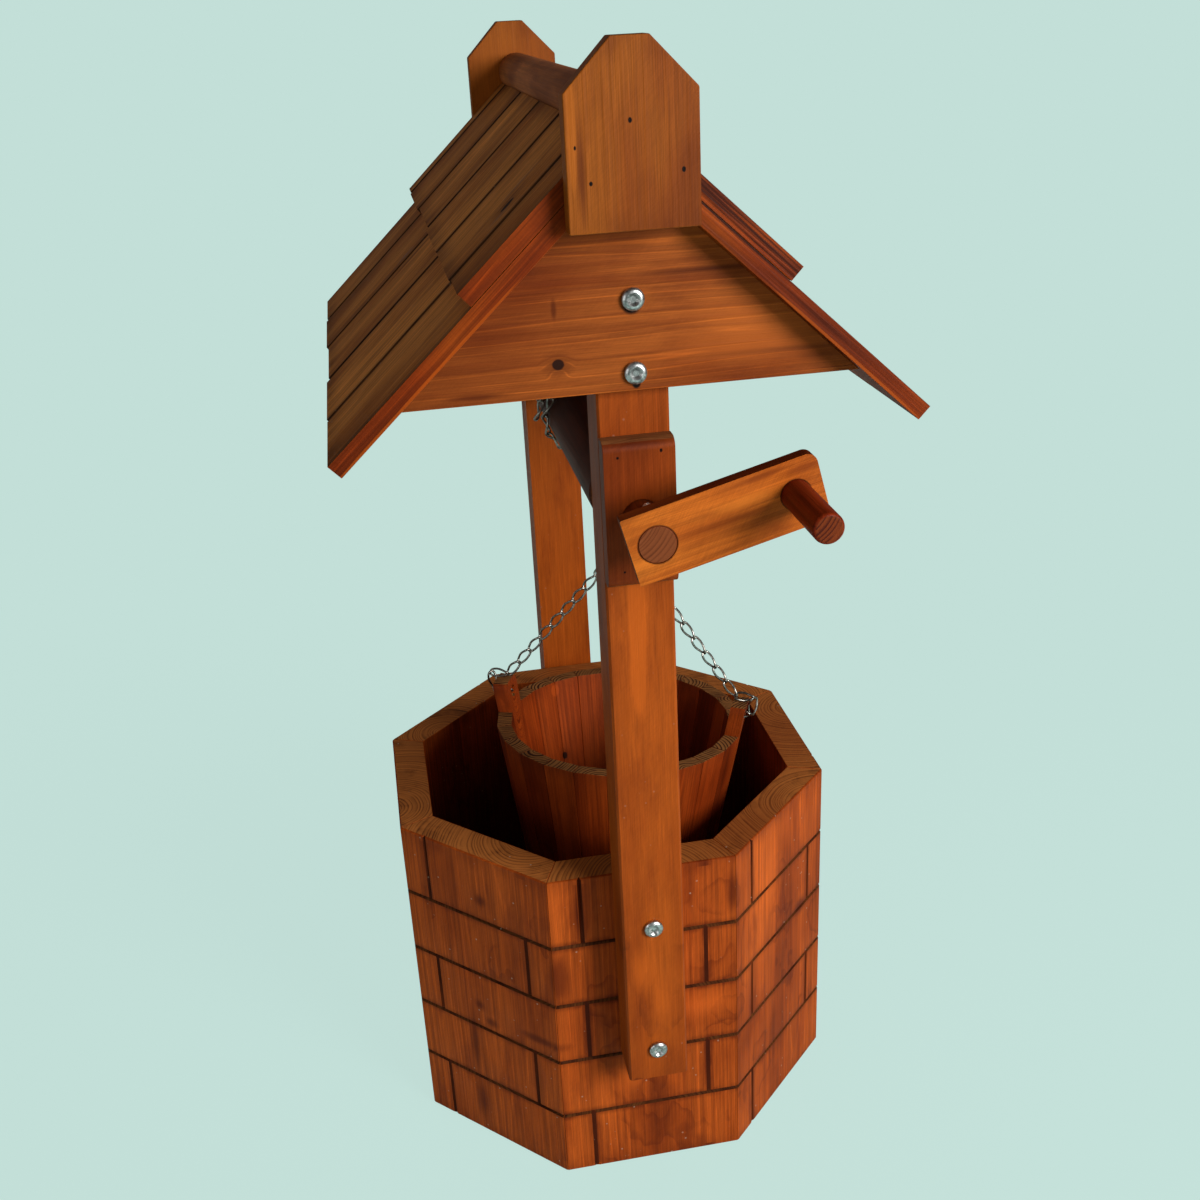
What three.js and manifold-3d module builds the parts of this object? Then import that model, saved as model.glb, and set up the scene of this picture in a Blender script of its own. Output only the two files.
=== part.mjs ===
// A wishing well planter: an eight sided timber well with a roof on two posts, a crank
// that winds a chain on a roller, and a stave bucket that hangs in the well on that chain.
// Lengths are millimetres, angles are degrees. The ground is z = 0, the crank faces -y.

import * as THREE from "three";
import { mergeVertices } from "three/addons/utils/BufferGeometryUtils.js";
import Module from "manifold-3d";

const wasm = await Module();
wasm.setup();

// Gaps that the pieces keep
const seat = 0.3;
const axlePlay = 0.6;
const rollerEndPlay = 2;
const cutOverrun = 4;

// Well walls
const wallSides = 8;
const acrossFlats = 460;
const wellHeight = 378;
const wallThickness = 35;
const courseHeight = 73;
const courseCount = 5;
const brickJointOffset = 63;
const grooveWidth = 4.4;
const grooveDepth = 3;
const bottomEase = 3;
const rimEase = 1.5;

// Floor of the well, flush with the foot of the walls
const floorThickness = 12;
const drainRadius = 9;
const drainCircle = 105;
const drainCount = 6;

// Posts
const postWidth = 60;
const postDepth = 47;
const postLap = 220;
const postUnderRidge = 108.5;
const postEase = 2;

// Bolts
const boltHeadRadius = 9;
const boltHeadRim = 3;
const boltHeadRise = 5;
const boltHeadFlat = 5.5;
const boltDish = 2;
const boltShankRadius = 3;
const baseBoltLength = 72;
const gableBoltLength = 46;
const baseBoltDrops = [183.5, 34.5];
const gableBoltRise = 15;
const gableBoltDrop = 34;

// Bearing plate on the front post
const plateBelowAxle = 61.5;
const plateUnderGable = 40;
const plateThickness = 18;
const plateRound = 9;

// Roller, axle, crank arm and handle
const axleUnderGable = 106.5;
const axleRadius = 15.7;
const rollerRadius = 32;
const rollerEase = 2.5;
const axleEase = 1;
const armStandOff = 48.4;
const armThickness = 13;
const armWidth = 59;
const armThrow = 116;
const armEnd = 23;
const armTipRound = 9;
const armHeelRound = 1.5;
const armAngle = 14.6;
const handleRadius = 12.5;
const handleReach = 79;
const handleRound = 3;

// Roof
const roofAngle = 43;
const roofShift = -4;
const ridgeOverWell = 714.5;
const slatThickness = 14;
const roofOverhang = 25.4;
const slatCover = 134;
const lowerTierEave = 343.5;
const upperTierEave = 182;
const lowerLeftRip = 104;
const upperLeftRip = 37;
const lowerRightRip = 112;
const upperRightRip = 58;
const slatBevel = 3;
const tongueThickness = 4.6;
const tongueLength = 6;
const tongueLift = 4;
const endWander = 1.6;
const wanderTurn = 132;

// Gables, ridge beam, purlins, pole and finials
const gableThickness = 14;
const gableUnderRidge = 215.5;
const gableCrownWidth = 28;
const beamWidth = 44;
const beamCrownWidth = 16;
const purlinWidth = 34;
const purlinDepth = 20;
const purlinStation = 206;
const poleRadius = 20;
const poleUnderRidge = 5.5;
const finialWidth = 98;
const finialThickness = 19;
const finialUnderRidge = 84.5;
const shoulderOverRidge = 11.5;
const finialOverRidge = 47.5;
const finialTopWidth = 28;
const rearFinialShift = -8;

// Bucket
const bucketOffset = -13.6;
const bucketY = -8;
const bucketRimRadius = 137.2;
const bucketHeight = 220;
const bucketWall = 16;
const bucketLean = 10.2;
const bucketTurn = -24;
const bucketTiltX = -2.3;
const bucketTiltY = 2.9;
const staveCount = 24;
const earHeight = 34;
const earWidth = 35;
const earRound = 8;
const earHoleRadius = 6.6;
const bucketFloorThickness = 12;
const bucketFloorLift = 14;
const crozeDepth = 4;

// Chain
const wire = 2.4;
const linkCrown = 4;
const linkBelly = 4.4;
const linkLength = 24.2;
const crownBite = 0.9;
const linkTwist = 45;
const linkSides = 5;
const crownSteps = 6;
const ringRadius = 10;
const ringWire = 3;
const ringSides = 6;
const ringSteps = 20;
const chainPlay = 0.7;
const legLinks = 10;
const untwistCount = 3;
const dropLinks = 6;
const dropUnderAxle = 8.9;
const woundLinks = 18;
const woundPitch = 30;
const looseEndLift = 6;
const earChainRise = 6.1;

// How finely round forms are cut
const boltSides = 16;
const earHoleSides = 16;
const handleSides = 24;
const axleSides = 32;
const rollerSides = 40;
const drainSegments = 4;
const earSegments = 5;
const holeSegments = 6;
const armSegments = 14;
const settlingPasses = 12;

// Sizes that follow from those above
const degrees = Math.PI / 180;
const apothem = acrossFlats / 2;
const wallHalfAngle = Math.PI / wallSides;
const postInner = apothem + seat;
const postOuter = postInner + postDepth;
const gableInner = postOuter + seat;
const gableOuter = gableInner + gableThickness;
const halfRoof = gableOuter + roofOverhang;
const finialInner = halfRoof + seat;
const slope = roofAngle * degrees;
const ridgeHeight = wellHeight + ridgeOverWell;
const tierSpacing = slatThickness + seat;
const lowerRidge = ridgeHeight - tierSpacing / Math.cos(slope);
const gableRidge = lowerRidge - tierSpacing / Math.cos(slope);
const gableBottom = ridgeHeight - gableUnderRidge;
const axleHeight = gableBottom - axleUnderGable;
const poleHeight = ridgeHeight - poleUnderRidge;
const finialBottom = ridgeHeight - finialUnderRidge;
const finialShoulder = ridgeHeight + shoulderOverRidge;
const finialTop = ridgeHeight + finialOverRidge;
const postBottom = wellHeight - postLap;
const postTop = ridgeHeight - postUnderRidge;
const baseBoltHeights = baseBoltDrops.map((drop) => wellHeight - drop);
const gableBoltHeights = [gableBottom + gableBoltRise, postTop - gableBoltDrop];
const plateBottom = axleHeight - plateBelowAxle;
const plateTop = gableBottom - plateUnderGable;
const plateFace = postOuter + seat + plateThickness;
const armBack = plateFace + armStandOff;
const boltHoleRadius = boltShankRadius + seat;
const axleHoleRadius = axleRadius + axlePlay;
const linkHalf = (linkLength - wire) / 2;
const linkPitch = linkLength - 2 * wire + crownBite;
const crownBack = (wire - crownBite) / 2;

// Colours and finishes
const woodRoughness = 0.65;
const steelRoughness = 0.35;
const steelMetalness = 0.9;
const boltColour = 0xc4c4c0;
const chainColour = 0x6e6c66;
const woodColours = {
  wall: 0x98512a,
  post: 0xa4582a,
  gable: 0xa8602c,
  slat: 0x6a4427,
  finial: 0xb06a2e,
  pole: 0x5a3b28,
  crank: 0xc07230,
  handle: 0x7a2e18,
  bucket: 0x8c3a16,
};

function finish(colour, metalness, roughness) {
  return new THREE.MeshStandardMaterial({ color: colour, metalness, roughness });
}

function wood(kind) {
  return finish(woodColours[kind], 0, woodRoughness);
}

function steel(colour) {
  return finish(colour, steelMetalness, steelRoughness);
}

// Solids and booleans

function solid(geometry) {
  const bare = geometry.clone();
  for (const name of Object.keys(bare.attributes)) {
    if (name !== "position") bare.deleteAttribute(name);
  }
  const merged = mergeVertices(bare);
  return new wasm.Manifold(
    new wasm.Mesh({
      numProp: 3,
      vertProperties: merged.attributes.position.array,
      triVerts: new Uint32Array(merged.index.array),
    }),
  );
}

function surface(manifold) {
  const mesh = manifold.getMesh();
  const geometry = new THREE.BufferGeometry();
  geometry.setAttribute("position", new THREE.BufferAttribute(mesh.vertProperties, 3));
  geometry.setIndex(new THREE.BufferAttribute(mesh.triVerts, 1));
  const flat = geometry.toNonIndexed();
  flat.computeVertexNormals();
  return flat;
}

function cut(body, tools) {
  let result = solid(body);
  for (const tool of tools) result = result.subtract(solid(tool));
  return surface(result);
}

// Crossing wires can shut in a pinhole pocket, which is filled here
function fuse(bodies) {
  const whole = bodies.map(solid).reduce((joined, next) => joined.add(next));
  const filled = whole.decompose().filter((body) => body.volume() > 0);
  return surface(wasm.Manifold.compose(filled));
}

function outline(points) {
  return new THREE.Shape(points.map(([x, y]) => new THREE.Vector2(x, y)));
}

function extrude(shape, depth, curveSegments = holeSegments) {
  return new THREE.ExtrudeGeometry(shape, { depth, bevelEnabled: false, curveSegments });
}

// A shape drawn in x and z, extruded from y = 0 towards -y
function upright(shape, depth, curveSegments) {
  return extrude(shape, depth, curveSegments).rotateX(Math.PI / 2);
}

// A shape drawn in y and z, extruded from x = 0 towards +x
function alongX(shape, length, curveSegments) {
  const basis = new THREE.Matrix4().makeBasis(
    new THREE.Vector3(0, 1, 0),
    new THREE.Vector3(0, 0, 1),
    new THREE.Vector3(1, 0, 0),
  );
  return extrude(shape, length, curveSegments).applyMatrix4(basis);
}

function turned(profile, sides) {
  return new THREE.LatheGeometry(
    profile.map(([radius, along]) => new THREE.Vector2(radius, along)),
    sides,
  );
}

function boreAlongY(radius, from, to, x, z, sides) {
  const bore = new THREE.CylinderGeometry(radius, radius, to - from, sides);
  return bore.translate(x, (from + to) / 2, z);
}

function roundedBar(x0, x1, z0, z1, radii) {
  const [r00, r10, r11, r01] = radii;
  const shape = new THREE.Shape();
  shape.moveTo(x0 + r00, z0);
  shape.lineTo(x1 - r10, z0);
  shape.absarc(x1 - r10, z0 + r10, r10, -Math.PI / 2, 0, false);
  shape.lineTo(x1, z1 - r11);
  shape.absarc(x1 - r11, z1 - r11, r11, 0, Math.PI / 2, false);
  shape.lineTo(x0 + r01, z1);
  shape.absarc(x0 + r01, z1 - r01, r01, Math.PI / 2, Math.PI, false);
  shape.lineTo(x0, z0 + r00);
  shape.absarc(x0 + r00, z0 + r00, r00, Math.PI, 1.5 * Math.PI, false);
  return shape;
}

const well = new THREE.Group();

function piece(name, geometry, material, parent = well) {
  const mesh = new THREE.Mesh(geometry, material);
  mesh.name = name;
  parent.add(mesh);
  return mesh;
}

// Well walls: eight mitred boards with a brick pattern routed in the outer face

function wallBlank() {
  const outer = apothem * Math.tan(wallHalfAngle) - seat / 2 / Math.cos(wallHalfAngle);
  const inner = outer - wallThickness * Math.tan(wallHalfAngle);
  const plan = outline([
    [-outer, -apothem],
    [outer, -apothem],
    [inner, wallThickness - apothem],
    [-inner, wallThickness - apothem],
  ]);
  return extrude(plan, wellHeight);
}

function grooveSection() {
  const mouth = (grooveWidth / 2) * (1 + cutOverrun / grooveDepth);
  return [
    [-cutOverrun, -mouth],
    [grooveDepth, 0],
    [-cutOverrun, mouth],
  ];
}

function levelGroove(height) {
  const section = outline(grooveSection().map(([into, across]) => [into - apothem, height + across]));
  return alongX(section, acrossFlats).translate(-apothem, 0, 0);
}

function uprightGroove(x, bottom, top) {
  const section = outline(grooveSection().map(([into, across]) => [x - across, into - apothem]));
  return extrude(section, top - bottom).translate(0, 0, bottom);
}

function edgeEase(height, size, direction) {
  const reach = size + cutOverrun;
  const section = outline([
    [-apothem - cutOverrun, height + direction * cutOverrun],
    [-apothem - cutOverrun, height - direction * reach],
    [-apothem + reach, height + direction * cutOverrun],
  ]);
  return alongX(section, acrossFlats).translate(-apothem, 0, 0);
}

function courseLines() {
  const endCourse = (wellHeight - (courseCount - 2) * courseHeight) / 2;
  return Array.from({ length: courseCount - 1 }, (_, k) => endCourse + k * courseHeight);
}

function brickCuts() {
  const lines = courseLines();
  const edges = [-cutOverrun, ...lines, wellHeight + cutOverrun];
  const cuts = lines.map(levelGroove);
  for (let course = 0; course < courseCount; course += 1) {
    const side = course % 2 === 0 ? -1 : 1;
    cuts.push(uprightGroove(side * brickJointOffset, edges[course], edges[course + 1]));
  }
  cuts.push(edgeEase(0, bottomEase, -1), edgeEase(wellHeight, rimEase, 1));
  return cuts;
}

function wallBoltHoles() {
  const depth = baseBoltLength - postDepth;
  return baseBoltHeights.map((height) =>
    boreAlongY(boltHoleRadius, -apothem - cutOverrun, -apothem + depth, 0, height, boltSides),
  );
}

function buildWalls() {
  const blank = wallBlank();
  const cuts = brickCuts();
  const plain = cut(blank, cuts);
  const bolted = cut(blank, [...cuts, ...wallBoltHoles()]);
  for (let k = 0; k < wallSides; k += 1) {
    const carriesPost = k % (wallSides / 2) === 0;
    const board = piece(`wall_board_${k + 1}`, carriesPost ? bolted : plain, wood("wall"));
    board.rotation.z = (k * 2 * Math.PI) / wallSides;
  }
}

// Floor: an eight sided panel between the walls, with drain holes

function buildFloor() {
  const reach = (apothem - wallThickness - seat) / Math.cos(wallHalfAngle);
  const plan = outline(
    Array.from({ length: wallSides }, (_, k) => {
      const angle = (2 * k + 1) * wallHalfAngle;
      return [reach * Math.cos(angle), reach * Math.sin(angle)];
    }),
  );
  for (let k = 0; k < drainCount; k += 1) {
    const angle = (k * 2 * Math.PI) / drainCount;
    const drain = new THREE.Path();
    const x = drainCircle * Math.cos(angle);
    const y = drainCircle * Math.sin(angle);
    drain.absarc(x, y, drainRadius, 0, 2 * Math.PI, true);
    plan.holes.push(drain);
  }
  piece("floor_panel", extrude(plan, floorThickness, drainSegments), wood("wall"));
}

// Posts, bearing plate and bolts. The front set is built at -y, the rear set is turned half round.

function postBlank() {
  const half = postWidth / 2;
  const plan = outline([
    [-half + postEase, -postOuter],
    [half - postEase, -postOuter],
    [half, -postOuter + postEase],
    [half, -postInner],
    [-half, -postInner],
    [-half, -postOuter + postEase],
  ]);
  return extrude(plan, postTop - postBottom).translate(0, 0, postBottom);
}

function buildPost(name, parent) {
  const front = -postOuter - cutOverrun;
  const back = -postInner + cutOverrun;
  const gableHoleEnd = -postOuter + gableBoltLength - gableThickness;
  const holes = [
    boreAlongY(axleHoleRadius, front, back, 0, axleHeight, axleSides),
    ...baseBoltHeights.map((z) => boreAlongY(boltHoleRadius, front, back, 0, z, boltSides)),
    ...gableBoltHeights.map((z) => boreAlongY(boltHoleRadius, front, gableHoleEnd, 0, z, boltSides)),
  ];
  piece(name, cut(postBlank(), holes), wood("post"), parent);
}

function buildBearingPlate(parent) {
  const back = -postOuter - seat;
  const sideView = roundedBar(-plateFace, back, plateBottom, plateTop, [plateRound, 0, 0, plateRound]);
  const blank = alongX(sideView, postWidth).translate(-postWidth / 2, 0, 0);
  const from = -plateFace - cutOverrun;
  const hole = boreAlongY(axleHoleRadius, from, back + cutOverrun, 0, axleHeight, axleSides);
  piece("bearing_plate", cut(blank, [hole]), wood("post"), parent);
}

function boltGeometry(length) {
  return turned(
    [
      [0, boltDish - boltHeadRise],
      [boltHeadFlat, -boltHeadRise],
      [boltHeadRadius, -boltHeadRim],
      [boltHeadRadius, 0],
      [boltShankRadius, 0],
      [boltShankRadius, length],
      [0, length],
    ],
    boltSides,
  );
}

function buildBolts(side, parent) {
  const rows = [
    ["base", baseBoltHeights, postOuter, baseBoltLength],
    ["gable", gableBoltHeights, gableOuter, gableBoltLength],
  ];
  for (const [row, heights, face, length] of rows) {
    heights.forEach((height, k) => {
      const bolt = piece(`${row}_bolt_${side}_${k + 1}`, boltGeometry(length), steel(boltColour), parent);
      bolt.position.set(0, -face - seat, height);
    });
  }
}

// Gables, finials, ridge

function buildGable(name, parent, mirrored) {
  const shift = mirrored ? -roofShift : roofShift;
  const crown = gableCrownWidth / 2;
  const run = (gableRidge - gableBottom) / Math.tan(slope);
  const crownHeight = gableRidge - crown * Math.tan(slope);
  const shape = outline([
    [shift - run, gableBottom],
    [shift + run, gableBottom],
    [shift + crown, crownHeight],
    [shift - crown, crownHeight],
  ]);
  for (const height of gableBoltHeights) {
    const hole = new THREE.Path();
    hole.absarc(0, height, boltHoleRadius, 0, 2 * Math.PI, true);
    shape.holes.push(hole);
  }
  const board = piece(name, upright(shape, gableThickness), wood("gable"), parent);
  board.position.y = -gableInner;
}

function buildFinial(name, parent, mirrored) {
  const shift = mirrored ? -rearFinialShift : roofShift;
  const half = finialWidth / 2;
  const top = finialTopWidth / 2;
  const shape = outline([
    [shift - half, finialBottom],
    [shift + half, finialBottom],
    [shift + half, finialShoulder],
    [shift + top, finialTop],
    [shift - top, finialTop],
    [shift - half, finialShoulder],
  ]);
  const board = piece(name, upright(shape, finialThickness), wood("finial"), parent);
  board.position.y = -finialInner;
}

function buildRidge() {
  const pole = new THREE.CylinderGeometry(poleRadius, poleRadius, 2 * halfRoof, rollerSides);
  piece("ridge_pole", pole, wood("pole")).position.set(roofShift, 0, poleHeight);

  const half = beamWidth / 2;
  const crown = beamCrownWidth / 2;
  const shoulder = gableRidge - half * Math.tan(slope);
  const section = outline([
    [-half, postTop + seat],
    [half, postTop + seat],
    [half, shoulder],
    [crown, gableRidge - crown * Math.tan(slope)],
    [-crown, gableRidge - crown * Math.tan(slope)],
    [-half, shoulder],
  ]);
  const length = 2 * (gableInner - seat);
  piece("ridge_beam", upright(section, length), wood("pole")).position.set(roofShift, length / 2, 0);
}

// Roof slats. In a slope's group x runs down the slope from the ridge line, z points out.

function slatSection(width, hasGroove, hasTongue) {
  const low = seat / 2;
  const high = width - seat / 2;
  const tongueTop = tongueLift + tongueThickness;
  const points = [
    [low, 0],
    [high, 0],
  ];
  if (hasTongue) {
    points.push([high, tongueLift], [high + tongueLength, tongueLift]);
    points.push([high + tongueLength, tongueTop], [high, tongueTop]);
  }
  const highBevel = hasTongue ? slatBevel : 0;
  const lowBevel = hasGroove ? slatBevel : 0;
  points.push([high, slatThickness - highBevel], [high - highBevel, slatThickness]);
  points.push([low + lowBevel, slatThickness], [low, slatThickness - lowBevel]);
  if (hasGroove) {
    const depth = tongueLength + 2 * seat;
    points.push([low, tongueTop + seat], [low + depth, tongueTop + seat]);
    points.push([low + depth, tongueLift - seat], [low, tongueLift - seat]);
  }
  return outline(points);
}

// How far down the slope the pole's flank reaches, at the tier whose top lies this far under
// the roof's upper face
function poleFlank(tierDrop) {
  const below = (ridgeHeight - poleHeight) * Math.cos(slope);
  const along = (ridgeHeight - poleHeight) * Math.sin(slope);
  const nearest = Math.max(0, tierDrop - below);
  return along + Math.sqrt(Math.max(0, poleRadius * poleRadius - nearest * nearest));
}

function buildTier(group, side, tier, drop, eave, firstRip) {
  const meeting = (drop + slatThickness) * Math.tan(slope);
  const start = Math.max(poleFlank(drop), meeting) + seat;
  const edges = [-halfRoof];
  for (let y = -halfRoof + firstRip; y < halfRoof; y += slatCover) edges.push(y);
  edges.push(halfRoof);
  for (let k = 0; k + 1 < edges.length; k += 1) {
    const isLast = k + 2 === edges.length;
    const section = slatSection(edges[k + 1] - edges[k], k > 0, !isLast);
    const length = eave - start + endWander * Math.sin(wanderTurn * degrees * k);
    const slat = piece(`slat_${side}_${tier}_${k + 1}`, alongX(section, length), wood("slat"), group);
    slat.position.set(start, edges[k], -drop - slatThickness);
  }
}

function buildSlope(side) {
  const turnedGroup = new THREE.Group();
  turnedGroup.position.set(roofShift, 0, ridgeHeight);
  turnedGroup.rotation.z = side === "left" ? Math.PI : 0;
  const group = new THREE.Group();
  group.rotation.y = slope;
  turnedGroup.add(group);
  well.add(turnedGroup);
  const isLeft = side === "left";
  buildTier(group, side, "upper", 0, upperTierEave, isLeft ? upperLeftRip : upperRightRip);
  buildTier(group, side, "lower", tierSpacing, lowerTierEave, isLeft ? lowerLeftRip : lowerRightRip);

  const length = 2 * (gableInner - seat);
  const purlin = new THREE.BoxGeometry(purlinWidth, length, purlinDepth);
  const underSlats = -2 * tierSpacing - purlinDepth / 2;
  piece(`purlin_${side}`, purlin, wood("pole"), group).position.set(purlinStation, 0, underSlats);
}

// Windlass

function buildWindlass() {
  const windlass = new THREE.Group();
  windlass.position.z = axleHeight;
  well.add(windlass);

  const half = apothem - rollerEndPlay;
  const bore = axleRadius + seat;
  const roller = turned(
    [
      [bore, -half],
      [rollerRadius - rollerEase, -half],
      [rollerRadius, -half + rollerEase],
      [rollerRadius, half - rollerEase],
      [rollerRadius - rollerEase, half],
      [bore, half],
      [bore, -half],
    ],
    rollerSides,
  );
  piece("roller", roller, wood("pole"), windlass);

  const front = -armBack - armThickness;
  const axle = turned(
    [
      [0, front],
      [axleRadius - axleEase, front],
      [axleRadius, front + axleEase],
      [axleRadius, postOuter - axleEase],
      [axleRadius - axleEase, postOuter],
      [0, postOuter],
    ],
    axleSides,
  );
  piece("axle", axle, wood("crank"), windlass);

  const crank = new THREE.Group();
  crank.rotation.y = -armAngle * degrees;
  windlass.add(crank);
  const halfWidth = armWidth / 2;
  const armShape = roundedBar(-armEnd, armThrow + armEnd, -halfWidth, halfWidth, [
    armHeelRound,
    armTipRound,
    armTipRound,
    armHeelRound,
  ]);
  const holes = [
    [0, axleRadius + seat],
    [armThrow, handleRadius + seat],
  ];
  for (const [x, radius] of holes) {
    const hole = new THREE.Path();
    hole.absarc(x, 0, radius, 0, 2 * Math.PI, true);
    armShape.holes.push(hole);
  }
  const arm = piece("crank_arm", upright(armShape, armThickness, armSegments), wood("crank"), crank);
  arm.position.y = -armBack;

  const tip = front - handleReach;
  const round = handleRound * (1 - Math.SQRT1_2);
  const handle = turned(
    [
      [0, tip],
      [handleRadius - handleRound, tip],
      [handleRadius - round, tip + round],
      [handleRadius, tip + handleRound],
      [handleRadius, -armBack],
      [0, -armBack],
    ],
    handleSides,
  );
  piece("crank_handle", handle, wood("handle"), crank).position.x = armThrow;
}

// Bucket: staves drawn in towards the foot, two tall ear staves with a hole each.
// In its group the rim is z = 0 and the ears stand on the x axis.

const bucket = new THREE.Group();
const bucketSlope = Math.tan(bucketLean * degrees);

function bucketRadius(height) {
  return bucketRimRadius + height * bucketSlope;
}

function staveCone(from, to, inset) {
  const top = bucketRadius(to) - inset;
  const bottom = bucketRadius(from) - inset;
  const cone = new THREE.CylinderGeometry(top, bottom, to - from, staveCount);
  cone.rotateX(Math.PI / 2).rotateZ(Math.PI / staveCount);
  return cone.translate(0, 0, (from + to) / 2);
}

function buildBucket() {
  well.add(bucket);
  const floorBottom = bucketFloorLift - bucketHeight;
  const floorTop = floorBottom + bucketFloorThickness;
  const hollow = staveCone(-bucketHeight - cutOverrun, earHeight + cutOverrun, bucketWall);
  const croze = staveCone(floorBottom - seat, floorTop + seat, bucketWall - crozeDepth);

  const span = 2 * bucketRimRadius + 2 * earHeight;
  const capHeight = earHeight + cutOverrun;
  const cap = new THREE.BoxGeometry(span, span, capHeight);
  cap.translate(0, 0, capHeight / 2);
  const half = earWidth / 2;
  const earShape = roundedBar(-half, half, -cutOverrun, earHeight, [0, 0, earRound, earRound]);
  const ears = alongX(earShape, span, earSegments).translate(-span / 2, 0, 0);
  const trim = surface(solid(cap).subtract(solid(ears)));

  const hole = new THREE.CylinderGeometry(earHoleRadius, earHoleRadius, span, earHoleSides);
  hole.rotateZ(Math.PI / 2).translate(0, 0, earHoleHeight());

  const shell = cut(staveCone(-bucketHeight, earHeight, 0), [hollow, croze, trim, hole]);
  piece("bucket_shell", shell, wood("bucket"), bucket);
  const disc = staveCone(floorBottom, floorTop, bucketWall - crozeDepth + seat);
  piece("bucket_floor", disc, wood("bucket"), bucket);
}

// Chain: twisted oval links, each lying flat and hooked through the next

function linkStations() {
  const straight = linkHalf - linkCrown;
  const stations = [];
  for (const end of [1, -1]) {
    for (let k = 0; k <= crownSteps; k += 1) {
      const angle = end * (Math.PI / 2) - (k * Math.PI) / crownSteps;
      const across = end * linkCrown * Math.cos((k * Math.PI) / crownSteps);
      const along = end * (straight + linkCrown * Math.sin((k * Math.PI) / crownSteps));
      stations.push({ along, across, twist: end * linkTwist, outward: angle });
    }
    stations.push({ along: 0, across: -end * linkBelly, twist: 0, outward: -end * (Math.PI / 2) });
  }
  return stations;
}

function twisted({ along, across, twist }) {
  const angle = twist * degrees;
  return new THREE.Vector3(along, across * Math.cos(angle), across * Math.sin(angle));
}

// One link round the origin, long way along x, lying flat in x and y
function linkGeometry() {
  const stations = linkStations();
  const centres = stations.map(twisted);
  const count = stations.length;
  const positions = [];
  for (let k = 0; k < count; k += 1) {
    const before = centres[(k + count - 1) % count];
    const after = centres[(k + 1) % count];
    const forward = after.clone().sub(before).normalize();
    const { twist, outward } = stations[k];
    const reach = new THREE.Vector3(
      Math.cos(outward),
      Math.sin(outward) * Math.cos(twist * degrees),
      Math.sin(outward) * Math.sin(twist * degrees),
    );
    const side = reach.addScaledVector(forward, -reach.dot(forward)).normalize();
    const up = new THREE.Vector3().crossVectors(forward, side);
    for (let s = 0; s < linkSides; s += 1) {
      const turn = (s * 2 * Math.PI) / linkSides;
      const point = centres[k].clone();
      point.addScaledVector(side, (wire / 2) * Math.cos(turn));
      point.addScaledVector(up, (wire / 2) * Math.sin(turn));
      positions.push(point.x, point.y, point.z);
    }
  }
  const index = [];
  for (let k = 0; k < count; k += 1) {
    const next = (k + 1) % count;
    for (let s = 0; s < linkSides; s += 1) {
      const t = (s + 1) % linkSides;
      const a = k * linkSides + s;
      const b = k * linkSides + t;
      const c = next * linkSides + s;
      const d = next * linkSides + t;
      index.push(a, b, c, b, d, c);
    }
  }
  const geometry = new THREE.BufferGeometry();
  geometry.setAttribute("position", new THREE.Float32BufferAttribute(positions, 3));
  geometry.setIndex(index);
  return geometry;
}

// A link from one joint point to the next, its flat side facing along normal
function placedLink(from, to, normal) {
  const forward = to.clone().sub(from).normalize();
  const up = normal.clone().addScaledVector(forward, -normal.dot(forward)).normalize();
  const side = new THREE.Vector3().crossVectors(up, forward);
  const matrix = new THREE.Matrix4().makeBasis(forward, side, up);
  matrix.setPosition(from.clone().add(to).multiplyScalar(0.5));
  return linkGeometry().applyMatrix4(matrix);
}

function chain(joints, normals) {
  const links = [];
  for (let k = 0; k + 1 < joints.length; k += 1) {
    links.push(placedLink(joints[k], joints[k + 1], normals[k]));
  }
  return links;
}

function straightJoints(from, to, count) {
  return Array.from({ length: count + 1 }, (_, k) => from.clone().lerp(to, k / count));
}

// Distance from the axle's axis to the nearest wire of a link whose joints lie at this radius
function nearestWire(jointRadius) {
  const flat = Math.sqrt(jointRadius * jointRadius - (linkPitch * linkPitch) / 4);
  const reaches = linkStations()
    .map(twisted)
    .map((centre) => Math.hypot(centre.x, flat + centre.z));
  return Math.min(...reaches) - wire / 2;
}

function woundRadius() {
  let radius = rollerRadius + wire;
  for (let pass = 0; pass < settlingPasses; pass += 1) {
    radius += rollerRadius + seat - nearestWire(radius);
  }
  return radius;
}

const jointRadius = woundRadius();

// Where the chain comes over an ear and in to its hole: radius and height in the bucket's group
function earPath() {
  const height = earHeight + earChainRise;
  const outerFace = bucketRadius(height) * Math.cos(Math.PI / staveCount);
  const overOuter = [outerFace + earChainRise, height];
  const overInner = [overOuter[0] - linkPitch, height];
  const below = [overOuter[0] - linkPitch * bucketSlope, height - linkPitch];
  const inside = [below[0] - linkPitch, below[1]];
  return [overInner, overOuter, below, inside];
}

function earHoleHeight() {
  return earPath()[3][1];
}

function legFacing() {
  return new THREE.Vector3(0, 1, 0).transformDirection(bucket.matrix);
}

function legEnd(sign) {
  return earPath().map(([radius, height]) =>
    new THREE.Vector3(sign * radius, 0, height).applyMatrix4(bucket.matrix),
  );
}

// From the ring's centre to the first joint of a link that hangs in it
function ringHook(play) {
  return ringRadius - ringWire / 2 - wire / 2 - play + crownBack;
}

const dropTop = axleHeight - dropUnderAxle;
const dropBottom = dropTop - dropLinks * linkPitch;

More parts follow.
